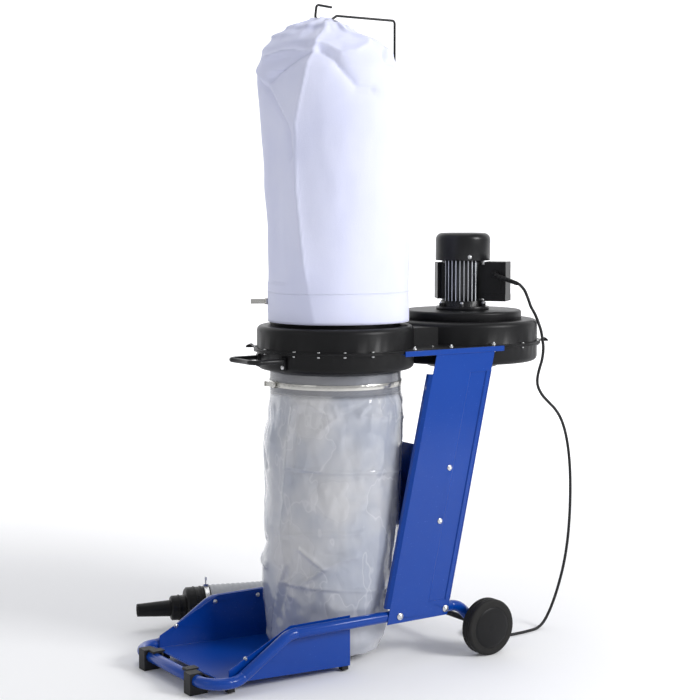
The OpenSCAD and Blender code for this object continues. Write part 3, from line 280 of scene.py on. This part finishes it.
tie_line = [Vector(((368 + 38 * math.cos(2.4) + 10.5 * math.cos(a) * math.cos(2.4)) / 1000 - shift,
                    (-95 + 38 * math.sin(2.4) + 10.5 * math.cos(a) * math.sin(2.4)) / 1000,
                    (7.3 + 6.9 * math.sin(a)) / 1000)) for a in [2 * math.pi * k / 28 for k in range(29)]]
tie, _ = tube("coil_tie", tie_line, lambda s, a: 0.0011, 6, black_rubber, closed=False)
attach(tie, "trolley")

# ---------------------------------------------------------------- Trolley
# The frame is one bent round tube, and the tray, columns and rails are folded sheet, bolted to it.
# All are painted with a smooth blue powder coat, which rounds the edges slightly.


def dress(names, material, edge=0.0):
    """Gives CAD nodes a material and a small rounded edge."""
    for name in names:
        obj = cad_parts[name]
        obj.data.materials.clear()
        obj.data.materials.append(material)
        if edge:
            weld = obj.modifiers.new("joined", "WELD")
            weld.merge_threshold = 0.00001
            bevel = obj.modifiers.new("broken edge", "BEVEL")
            bevel.width = edge
            bevel.segments = 2
            bevel.limit_method = "ANGLE"
            bevel.angle_limit = math.radians(32)
            bevel.harden_normals = True


blue, t, shader = new_material("blue powder coat", Coat_Weight=0.35, Coat_Roughness=0.05, Specular_IOR_Level=0.2)
drift = t.noise(5.0, detail=4.0)
specks = t.noise(260.0, detail=2.0).above(0.71, 0.02)
t.put(shader.inputs["Base Color"], specks.mix(drift.mix((0.0003, 0.040, 0.28, 1), (0.0006, 0.052, 0.34, 1)),
                                              (0.03, 0.09, 0.42, 1)))
t.put(shader.inputs["Roughness"], 0.24 + drift * 0.12)
t.put(shader.inputs["Normal"], t.bump(t.noise(330.0, detail=1.0), 0.00022, 0.35))
dress(["base_frame", "tray", "column_left", "column_right", "brace_panel", "top_rail_left", "top_rail_right"],
      blue, 0.0007)

# ---------------------------------------------------------------- Housing
# Two deep shells moulded in black plastic with a fine spark-eroded grain, screwed flange to flange.
# The plate, port, boxes, nozzle and hubs are of the same plastic; the gasket, pads and feet are rubber.

moulding, t, shader = new_material("black moulding", Specular_IOR_Level=0.22)
wear = t.noise(7.0, detail=5.0)
t.put(shader.inputs["Base Color"], wear.mix((0.004, 0.004, 0.0045, 1), (0.009, 0.009, 0.010, 1)))
t.put(shader.inputs["Roughness"], 0.32 + wear * 0.16)
t.put(shader.inputs["Normal"], t.bump(t.noise(1100.0, detail=1.0), 0.00018, 0.5))
dress(["housing_upper", "housing_lower", "motor_plate", "inlet_port", "capacitor_box", "switch_box",
       "hose_adapter", "wheel_hub_left", "wheel_hub_right"], moulding, 0.0006)
dress(["flange_gasket", "tray_pads", "front_foot_left", "front_foot_right", "plug", "cooling_fan"],
      black_rubber, 0.0005)

ribbed, t, shader = new_material("ribbed relief", Specular_IOR_Level=0.3)
scuffs = t.noise(60.0, detail=4.0)
relief_way = (0.55, -0.76, -0.35)
run = t.node("ShaderNodeVectorMath", {"operation": "DOT_PRODUCT"}, {0: t.place(), 1: relief_way}, out=1)
rings = t.math("SINE", run * 2200.0)
t.put(shader.inputs["Base Color"], scuffs.mix((0.006, 0.006, 0.006, 1), (0.016, 0.016, 0.017, 1)))
t.put(shader.inputs["Roughness"], 0.35 + scuffs * 0.2)
t.put(shader.inputs["Normal"], t.bump(rings, 0.0016, 0.9))
dress(["strain_relief"], ribbed)

# ---------------------------------------------------------------- Black steel parts
# Axle, hanger rod, handle, motor base, fan cowl and the upper collar, bent or pressed from steel.
# They are bolted or pushed into place and finished in satin black stove enamel.

enamel, t, shader = new_material("black enamel", Coat_Weight=0.1, Coat_Roughness=0.2, Specular_IOR_Level=0.25)
patches = t.noise(14.0, detail=4.0)
t.put(shader.inputs["Base Color"], patches.mix((0.004, 0.004, 0.005, 1), (0.010, 0.010, 0.011, 1)))
t.put(shader.inputs["Roughness"], 0.26 + patches * 0.16)
t.put(shader.inputs["Normal"], t.bump(t.noise(500.0, detail=2.0), 0.0002, 0.4))
dress(["axle", "hanger_rod", "hanger_boss", "carry_handle", "motor_base", "fan_cowl", "upper_collar"],
      enamel, 0.0005)

# ---------------------------------------------------------------- Bright fasteners
# Steel screws, dome-headed bolts, hose clamps and push-on clips, all zinc plated.
# The shaft, its bearings and the wire guard are bright steel of much the same look.

zinc, t, shader = new_material("zinc plate", Metallic=1.0)
cloud = t.noise(160.0, detail=4.0)
t.put(shader.inputs["Base Color"], cloud.mix((0.55, 0.56, 0.58, 1), (0.80, 0.80, 0.79, 1)))
t.put(shader.inputs["Roughness"], 0.18 + cloud * 0.2)
t.put(shader.inputs["Normal"], t.bump(t.noise(1300.0), 0.0001, 0.4))
dress(["tray_bolts", "column_bolts", "rail_bolts", "housing_screws", "handle_bolts", "motor_screws", "wheel_clips",
       "hose_clamps", "inlet_guard", "impeller_bolt", "rotor_shaft", "motor_bearings"], zinc, 0.0003)

# ---------------------------------------------------------------- Bands and latches
# A band of rolled stainless strip, closed by a draw latch of the same, holds each bag on its collar.
# The lower collar is bare, oiled sheet steel, and the motor's stacks are of the same bright sheet.

strip, t, shader = new_material("stainless strip", Metallic=1.0)
brush = t.noise(24.0, stretch=(1, 1, 60), detail=4.0)
t.put(shader.inputs["Base Color"], brush.mix((0.50, 0.49, 0.46, 1), (0.72, 0.71, 0.68, 1)))
t.put(shader.inputs["Roughness"], 0.16 + brush * 0.2)
t.put(shader.inputs["Normal"], t.bump(brush, 0.0002, 0.25))
dress(["upper_band", "upper_latch", "lower_band", "lower_latch", "stator_core", "rotor_core"], strip, 0.0002)

steel, t, shader = new_material("oiled sheet steel", Metallic=1.0)
blot = t.noise(18.0, detail=5.0)
t.put(shader.inputs["Base Color"], blot.mix((0.10, 0.105, 0.12, 1), (0.20, 0.205, 0.22, 1)))
t.put(shader.inputs["Roughness"], 0.30 + blot * 0.25)
dress(["lower_collar"], steel, 0.0003)

# ---------------------------------------------------------------- Motor body
# Cast aluminium with upright cooling fins; the gaps between the fins are darkened with painted shade, and the fin
# crowns keep the metal's own streaked colour.
# The body stands on its base over the housing, and the impeller under it is cast of the same metal.

cast, t, shader = new_material("cast aluminium", Metallic=1.0)
grain = t.noise(520.0, detail=3.0)
streak = t.noise(60.0, stretch=(1, 1, 0.1), detail=2.0)
motor_axis = (0.370 - shift, 0, 0)
axis = t.node("ShaderNodeVectorMath", {"operation": "SUBTRACT"}, {0: t.place((1, 1, 0)), 1: motor_axis})
fin_gap_shade_reach = t.node("ShaderNodeVectorMath", {"operation": "LENGTH"}, {0: axis}, out=1)
crown = streak.mix((0.60, 0.62, 0.66, 1), (0.86, 0.88, 0.91, 1))
# Painted shade: inside the outer radius of the fins the metal is darkened, as shade falls in the gaps between
# them.
t.put(shader.inputs["Base Color"], fin_gap_shade_reach.above(0.0520, 0.0022).mix((0.06, 0.062, 0.066, 1), crown))
t.put(shader.inputs["Roughness"], 0.26 + grain * 0.2)
t.put(shader.inputs["Normal"], t.bump(grain, 0.0002, 0.5))
dress(["motor_body", "impeller"], cast, 0.0003)

# ---------------------------------------------------------------- Wheels and buttons
# Solid rubber tyres on black moulded hubs, each hub closed by a slightly domed cap.
# A green and a red moulded push button sit in the wall of the switch box.

tyre, t, shader = new_material("tyre rubber", Specular_IOR_Level=0.22)
scuff = t.noise(70.0, detail=6.0)
t.put(shader.inputs["Base Color"], scuff.mix((0.008, 0.008, 0.008, 1), (0.025, 0.024, 0.023, 1)))
t.put(shader.inputs["Roughness"], 0.5 + scuff * 0.3)
t.put(shader.inputs["Normal"], t.bump(scuff, 0.0003, 0.5))
dress(["wheel_tyre_left", "wheel_tyre_right"], tyre, 0.0006)

for side_name, out_way in (("left", -1), ("right", 1)):
    low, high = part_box("wheel_tyre_" + side_name)
    mid = [(l + h) / 2 for l, h in zip(low, high)]
    face = low[1] if out_way < 0 else high[1]
    profile = [(0.0002, 3.6), (0.012, 3.4), (0.026, 2.6), (0.040, 1.2), (0.0462, 0.2), (0.0478, -1.2),
               (0.0484, -5.0)]
    verts, faces = [], []
    for r, h in profile:
        for k in range(72):
            a = 2 * math.pi * k / 72
            verts.append((mid[0] + r * math.cos(a), face + out_way * h / 1000, mid[2] + r * math.sin(a)))
    for i in range(len(profile) - 1):
        for k in range(72):
            q = (i * 72 + k, i * 72 + (k + 1) % 72, (i + 1) * 72 + (k + 1) % 72, (i + 1) * 72 + k)
            faces.append(q if out_way > 0 else q[::-1])
    cap_mesh = bpy.data.meshes.new("hub cap")
    cap_mesh.from_pydata(verts, [], faces)
    cap_mesh.shade_smooth()
    cap_mesh.materials.append(moulding)
    cap = bpy.data.objects.new("hub_cap_" + side_name, cap_mesh)
    bpy.context.scene.collection.objects.link(cap)
    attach(cap, "wheel_" + side_name)

for node, tint in (("start_button", (0.01, 0.3, 0.06)), ("stop_button", (0.5, 0.01, 0.01))):
    knob, t, shader = new_material(node.replace("_", " "), Coat_Weight=0.3)
    worn = t.noise(120.0, detail=3.0)
    t.put(shader.inputs["Base Color"], worn.mix((*tint, 1), (*[c * 0.75 for c in tint], 1)))
    t.put(shader.inputs["Roughness"], 0.25 + worn * 0.2)
    dress([node], knob, 0.0008)

# ---------------------------------------------------------------- Filter bag
# Sewn needle-felt bag hung by a loop on the hook and strapped over the collar by its hem.
# It has one upright seam, a flattened shoulder and a few slack folds where the hook gathers it.


def ridge(angle, z, line, radius):
    """Distance in metres from a place on a bag to a line drawn on it as (degrees, metres) pairs."""
    best = 9.0
    for (a0, z0), (a1, z1) in zip(line, line[1:]):
        u0 = ((a0 - angle + 180) % 360 - 180) * radius * math.pi / 180
        u1 = u0 + ((a1 - a0 + 180) % 360 - 180) * radius * math.pi / 180
        w0, w1 = z0 - z, z1 - z
        du, dw = u1 - u0, w1 - w0
        k = max(0.0, min(1.0, -(u0 * du + w0 * dw) / max(du * du + dw * dw, 1e-9)))
        best = min(best, math.hypot(u0 + k * du, w0 + k * dw))
    return best


def at_height(table, z):
    """Smooth interpolation in a table of (height, value) pairs."""
    for (z0, v0), (z1, v1) in zip(table, table[1:]):
        if z <= z1:
            k = max(0.0, (z - z0) / (z1 - z0))
            k = k * k * (3 - 2 * k)
            return v0 + (v1 - v0) * k
    return table[-1][1]


def lobes(angle, middle, left, right, back):
    """Radius at an angle from the radii towards four sides as the bag is seen from its front left."""
    turn = math.radians(angle + 124)
    r = middle
    r += (left - middle) * max(0.0, -math.sin(turn)) ** 3
    r += (right - middle) * max(0.0, math.sin(turn)) ** 3
    r += (back - middle) * max(0.0, -math.cos(turn)) ** 2
    return r


def settle(obj, group, frames, stiffness, mass, pressure=0.0):
    """Lets cloth settle on its held places for some frames and keeps the shape."""
    cloth = obj.modifiers.new("cloth", "CLOTH")
    s = cloth.settings
    s.quality = 5
    s.mass = mass
    s.tension_stiffness = s.compression_stiffness = stiffness
    s.shear_stiffness = stiffness * 0.5
    s.bending_stiffness = 0.4
    s.vertex_group_mass = group
    s.pin_stiffness = 1.6
    s.use_pressure = pressure != 0
    s.uniform_pressure_force = pressure
    cloth.point_cache.frame_end = frames
    scene = bpy.context.scene
    for f in range(1, frames + 1):
        scene.frame_set(f)
    flat = bpy.data.meshes.new_from_object(obj.evaluated_get(bpy.context.evaluated_depsgraph_get()))
    obj.modifiers.clear()
    obj.data = flat
    scene.frame_set(1)


felt, t, shader = new_material("needle felt", Sheen_Weight=0.25, Specular_IOR_Level=0.2)
fluff = t.noise(700.0, detail=4.0)
blush = t.noise(6.0, detail=3.0)
t.put(shader.inputs["Base Color"], blush.mix((0.66, 0.69, 0.92, 1), (0.80, 0.82, 0.98, 1)))
t.put(shader.inputs["Roughness"], 0.75 + fluff * 0.2)
weave = t.noise(70.0, stretch=(1, 1, 0.3), detail=5.0) * 0.5 + fluff * 0.5
hem_z = t.node("ShaderNodeSeparateXYZ", {}, {0: t.place()}, out=2)
stitched = t.math("ABSOLUTE", hem_z - 0.838).above(0.0012, 0.0010)
t.put(shader.inputs["Normal"], t.bump(weave + stitched * 1.5, 0.0012, 0.6))

left_edge = [
    (0.770, 0.1545), (0.840, 0.1545), (0.978, 0.156), (1.091, 0.165), (1.250, 0.175), (1.320, 0.176),
    (1.380, 0.160), (1.410, 0.128), (1.430, 0.085), (1.452, 0.026),
]
right_edge = [
    (0.770, 0.1690), (0.838, 0.1680), (0.909, 0.170), (1.148, 0.167), (1.290, 0.157), (1.334, 0.153),
    (1.375, 0.140), (1.395, 0.118), (1.425, 0.062), (1.452, 0.020),
]
front_edge = [
    (0.770, 0.1560), (0.840, 0.1560), (0.95, 0.158), (1.250, 0.163), (1.330, 0.156), (1.390, 0.122),
    (1.428, 0.070), (1.452, 0.018),
]
seam = [(-133, 1.428), (-141, 1.382), (-144, 1.351), (-148, 1.297), (-155, 1.208), (-156, 1.146), (-155, 1.067),
        (-151, 0.968), (-147, 0.870), (-141, 0.778)]
filter_folds = [
    ([(149, 1.329), (172, 1.285), (-175, 1.245), (-163, 1.209), (-161, 1.184), (-160, 1.14)], -0.0050, 0.008),
    ([(150, 1.34), (174, 1.30), (-171, 1.255), (-161, 1.215)], 0.0035, 0.010),
    ([(-143, 1.387), (-129, 1.377), (-118, 1.364), (-104, 1.370), (-89, 1.388)], 0.0065, 0.011),
    ([(-137, 1.368), (-124, 1.348), (-118, 1.325), (-106, 1.291), (-92, 1.285)], -0.0075, 0.013),
    ([(165, 1.358), (-174, 1.370), (-161, 1.371), (-150, 1.364), (-144, 1.368)], 0.0065, 0.010),
    ([(173, 1.310), (-168, 1.334), (-152, 1.356), (-144, 1.363)], -0.0075, 0.013),
    ([(-68, 1.376), (-73, 1.353), (-63, 1.345)], -0.0060, 0.007),
    ([(-122, 1.437), (-104, 1.413), (-82, 1.393), (-62, 1.379)], 0.0050, 0.006),
    ([(-40, 1.36), (-30, 1.20), (-38, 1.02)], -0.0040, 0.018),
    ([(20, 1.37), (32, 1.22), (26, 1.0), (30, 0.86)], -0.0065, 0.016),
    ([(75, 1.38), (68, 1.25), (80, 1.08)], 0.0060, 0.016),
    ([(120, 1.36), (112, 1.2), (122, 0.98)], -0.0060, 0.018),
    ([(60, 1.405), (95, 1.37), (130, 1.385)], 0.0060, 0.012),
]

rows, cols = 170, 220
verts, faces = [], []
for i in range(rows):
    z = 0.7705 + (1.452 - 0.7705) * (i / (rows - 1)) ** 0.92
    for k in range(cols):
        a = 360 * k / cols - 180
        front = at_height(front_edge, z)
        r = lobes(a, front, at_height(left_edge, z), at_height(right_edge, z), front)
        lean = at_height([(0.84, 0.0), (1.2, 0.004), (1.38, -0.006), (1.452, -0.034)], z)
        verts.append((r * math.cos(math.radians(a)) - shift + lean, r * math.sin(math.radians(a)), z))
for i in range(rows - 1):
    for k in range(cols):
        b = (k + 1) % cols
        faces.append((i * cols + k, i * cols + b, (i + 1) * cols + b, (i + 1) * cols + k))
faces.append(tuple((rows - 1) * cols + k for k in range(cols)))
mesh = bpy.data.meshes.new("filter cloth")
mesh.from_pydata(verts, [], faces)
bag = bpy.data.objects.new("filter_cloth", mesh)
bpy.context.scene.collection.objects.link(bag)
held = bag.vertex_groups.new(name="held")
for i, v in enumerate(mesh.vertices):
    hem = v.co.z < 0.842 or v.co.z > 1.43
    held.add([i], 1.0 if hem else 0.55, "REPLACE")
settle(bag, "held", 9, 12.0, 0.2, 0.4)
for v in bag.data.vertices:
    x, y, z = v.co.x + shift, v.co.y, v.co.z
    a = math.degrees(math.atan2(y, x))
    out = Vector((math.cos(math.radians(a)), math.sin(math.radians(a)), 0.25 if z > 1.33 else 0.0))
    free = min(1.0, max(0.0, (z - 0.835) / 0.05))
    push = 0.0
    for line, depth, width in filter_folds:
        d = ridge(a, z, line, 0.158)
        push += 1.7 * depth * math.exp(-d / width)
    d = ridge(a, z, seam, 0.155)
    push += (0.35 + 0.65 * free) * 0.012 * math.exp(-d / 0.024) + free * 0.0016 * math.exp(-(d / 0.0022) ** 2)
    push -= free * 0.009 * math.exp(-(((a - 178 + 180) % 360 - 180) / 15) ** 2) * (1 if z < 1.36 else 0.3)
    soft = noise.noise(Vector((x * 9, y * 9, z * 4))) * 0.0035
    soft += noise.noise(Vector((x * 30, y * 30, z * 14))) * 0.0011
    gather = min(1.0, max(0.0, (z - 1.39) / 0.05))
    ruffle = 3 * noise.noise(Vector((x * 40, y * 40, 0)))
    push += free * soft + gather * 0.004 * math.sin(math.radians(a) * 15 + ruffle)
    post = ((a + 180) % 360 - 180) / 13
    push -= free * 0.006 * math.exp(-post * post) * (1 if z < 1.39 else 0)
    stitch = math.exp(-((z - 0.838) / 0.002) ** 2) * 0.0006 - math.exp(-((z - 0.834) / 0.0012) ** 2) * 0.0007
    v.co = v.co + out * (push + stitch)
    r = math.hypot(v.co.x + shift, v.co.y)
    least = 0.1553 if z > 0.79 else 0.1530
    if z < 0.86 and r < least:
        v.co.x, v.co.y = (v.co.x + shift) * least / r - shift, v.co.y * least / r
    if z < 0.772:
        v.co.z = 0.7705
bag.data.shade_smooth()
bag.data.materials.clear()
bag.data.materials.append(felt)
thick = bag.modifiers.new("cloth thickness", "SOLIDIFY")
thick.thickness = 0.0016
thick.offset = -1
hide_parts("filter_bag")
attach(bag, "trolley")

# ---------------------------------------------------------------- Collection bag
# Thin milky film bag strapped round the lower collar, still creased from its packing.
# It has one long upright fold, packing creases across it and small pulls below the band, with pale painted
# highlights along its creases.

film, t, shader = new_material("milky film", Specular_IOR_Level=0.7, Coat_Weight=0.8, Coat_Roughness=0.06)
haze = t.noise(5.0, detail=3.0).above(0.5, 0.16)
cracks = t.node("ShaderNodeTexVoronoi", {"feature": "DISTANCE_TO_EDGE"},
                {"Vector": t.place((1, 1, 0.6)), "Scale": 17.0})
folds = t.noise(9.0, stretch=(1, 1, 0.6), detail=3.0, rough=0.6)
# Painted highlight: thin near-white streaks in the base colour along the creases of the fold field.
crease_highlight_lines = 1.0 - t.math("ABSOLUTE", folds - 0.56).above(0.006, 0.006)
pale = haze.mix((0.40, 0.43, 0.51, 1), (0.60, 0.60, 0.62, 1))
t.put(shader.inputs["Base Color"], (crease_highlight_lines * 0.22).mix(pale, (0.88, 0.88, 0.90, 1)))
t.put(shader.inputs["Roughness"], 0.14 + haze * 0.16)
high = t.node("ShaderNodeSeparateXYZ", {}, {0: t.place()}, out=2)
t.put(shader.inputs["Alpha"], 0.84 - high.above(0.606, 0.006) * 0.56 + t.noise(11.0, detail=4.0) * 0.12)
crease = t.math("MINIMUM", cracks, 0.16) * 0.3 + t.math("ABSOLUTE", folds - 0.56) * 0.9
t.put(shader.inputs["Normal"], t.bump(crease, 0.020, 0.55))

film_left = [
    (0.012, 0.150), (0.05, 0.166), (0.200, 0.170), (0.300, 0.166), (0.401, 0.166), (0.494, 0.168),
    (0.560, 0.156), (0.605, 0.1515), (0.657, 0.1515),
]
film_right = [
    (0.012, 0.100), (0.09, 0.122), (0.200, 0.140), (0.307, 0.151), (0.401, 0.153), (0.587, 0.158),
    (0.612, 0.1515), (0.657, 0.1515),
]
film_front = [
    (0.012, 0.132), (0.06, 0.152), (0.200, 0.156), (0.45, 0.155), (0.59, 0.154), (0.612, 0.1515),
    (0.657, 0.1515),
]
film_back = [
    (0.012, 0.125), (0.06, 0.145), (0.200, 0.150), (0.45, 0.153), (0.59, 0.153), (0.612, 0.1515),
    (0.657, 0.1515),
]
film_folds = [
    ([(-162, 0.585), (-166, 0.513), (-169, 0.431), (-174, 0.307), (-169, 0.228), (-177, 0.175), (177, 0.109),
      (174, 0.05)], 0.0045, 0.0045),
    ([(-156, 0.57), (-160, 0.50), (-163, 0.43), (-167, 0.31), (-163, 0.23), (-170, 0.17), (-178, 0.1)],
     -0.0045, 0.010),
    ([(-169, 0.448), (-137, 0.445), (-116, 0.441), (-100, 0.441), (-48, 0.430)], 0.0022, 0.0035),
    ([(-169, 0.442), (-137, 0.438), (-116, 0.434), (-98, 0.434)], -0.0026, 0.005),
    ([(-170, 0.293), (-140, 0.303), (-103, 0.305)], 0.0016, 0.0035),
    ([(-173, 0.185), (-131, 0.181), (-73, 0.167)], 0.0018, 0.0035),
    ([(-102, 0.567), (-82, 0.563), (-36, 0.549)], 0.0016, 0.0035),
    ([(-155, 0.268), (-133, 0.228), (-153, 0.187)], 0.0042, 0.0055),
    ([(-133, 0.228), (-119, 0.246), (-107, 0.253)], 0.0040, 0.007),
    ([(-133, 0.262), (-122, 0.262)], -0.0036, 0.012),
    ([(-137, 0.534), (-122, 0.567), (-125, 0.594)], 0.0030, 0.0045),
    ([(-144, 0.593), (-135, 0.578), (-128, 0.567)], 0.0030, 0.004),
    ([(-103, 0.569), (-94, 0.596), (-88, 0.612)], 0.0034, 0.004),
    ([(-116, 0.574), (-107, 0.582), (-94, 0.604)], -0.0030, 0.004),
    ([(-80, 0.61), (-84, 0.585), (-80, 0.566)], 0.0028, 0.004),
    ([(149, 0.500), (158, 0.47), (165, 0.44)], -0.0040, 0.008),
    ([(140, 0.27), (152, 0.257), (160, 0.27)], -0.0060, 0.010),
    ([(150, 0.23), (158, 0.215), (168, 0.212)], 0.0050, 0.007),
    ([(-45, 0.33), (-52, 0.25), (-44, 0.14)], -0.0050, 0.008),
    ([(-60, 0.34), (-66, 0.24), (-62, 0.13), (-70, 0.05)], 0.0035, 0.006),
    ([(20, 0.60), (28, 0.42), (18, 0.22), (24, 0.06)], 0.0050, 0.006),
    ([(70, 0.59), (62, 0.40), (74, 0.20), (66, 0.05)], -0.0055, 0.009),
    ([(112, 0.60), (120, 0.44), (110, 0.30), (118, 0.12)], 0.0050, 0.006),
    ([(0, 0.443), (60, 0.440), (130, 0.446)], 0.0022, 0.0035),
    ([(0, 0.30), (60, 0.303), (130, 0.298)], 0.0018, 0.0035),
    ([(0, 0.172), (60, 0.176), (130, 0.182)], 0.0018, 0.0035),
]

rows, cols = 190, 240
verts, faces = [], []
for i in range(rows):
    z = 0.657 - (0.657 - 0.024) * i / (rows - 1)
    for k in range(cols):
        a = 360 * k / cols - 180
        turn = math.radians(a + 124)
        front = at_height(film_front, z) if math.cos(turn) > 0 else at_height(film_back, z)
        r = lobes(a, front, at_height(film_left, z), at_height(film_right, z), front)
        verts.append((r * math.cos(math.radians(a)) - shift, r * math.sin(math.radians(a)), z))
for ring in range(1, 15):
    k0 = 1 - ring / 15
    for k in range(cols):
        x, y, z = verts[(rows - 1) * cols + k]
        drop = 0.012 * (1 - k0 * k0) ** 0.5
        verts.append(((x + shift) * k0 - shift, y * k0, z - drop + 0.0015 * math.sin(k * 0.5) * k0))
rows += 14
for i in range(rows - 1):
    for k in range(cols):
        b = (k + 1) % cols
        faces.append((i * cols + k, (i + 1) * cols + k, (i + 1) * cols + b, i * cols + b))
faces.append(tuple((rows - 1) * cols + k for k in range(cols)))
mesh = bpy.data.meshes.new("film")
mesh.from_pydata(verts, [], faces)
sack = bpy.data.objects.new("film_bag", mesh)
bpy.context.scene.collection.objects.link(sack)
held = sack.vertex_groups.new(name="held")
for i, v in enumerate(mesh.vertices):
    held.add([i], 1.0 if v.co.z > 0.606 else 0.50, "REPLACE")
settle(sack, "held", 8, 10.0, 0.12, 0.4)
for v in sack.data.vertices:
    x, y, z = v.co.x + shift, v.co.y, v.co.z
    a = math.degrees(math.atan2(y, x))
    out = Vector((math.cos(math.radians(a)), math.sin(math.radians(a)), 0.0))
    free = min(1.0, max(0.0, (0.611 - z) / 0.03))
    low = min(1.0, max(0.0, (z - 0.03) / 0.03))
    push = 0.0
    for line, depth, width in film_folds:
        push += 1.35 * depth * math.exp(-ridge(a, z, line, 0.155) / width)
    crumple = noise.noise(Vector((x * 14, y * 14, z * 9)))
    pulls = noise.ridged_multi_fractal(Vector((x * 16, y * 16, z * 9)), 1.0, 2.1, 3, 0.9, 2.0)
    push += crumple * 0.0045 + (pulls - 1.1) * 0.0022
    upper = math.exp(-((z - 0.575) / 0.035) ** 2)
    push += upper * 0.0020 * noise.noise(Vector((x * 55, y * 55, z * 22)))
    v.co = v.co + out * (push * free * low)
    r = math.hypot(v.co.x + shift, v.co.y)
    if z > 0.6085:
        v.co.x, v.co.y = (v.co.x + shift) * 0.1517 / r - shift, v.co.y * 0.1517 / r
sack.data.shade_smooth()
sack.data.materials.clear()
sack.data.materials.append(film)
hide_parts("collection_bag")
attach(sack, "trolley")
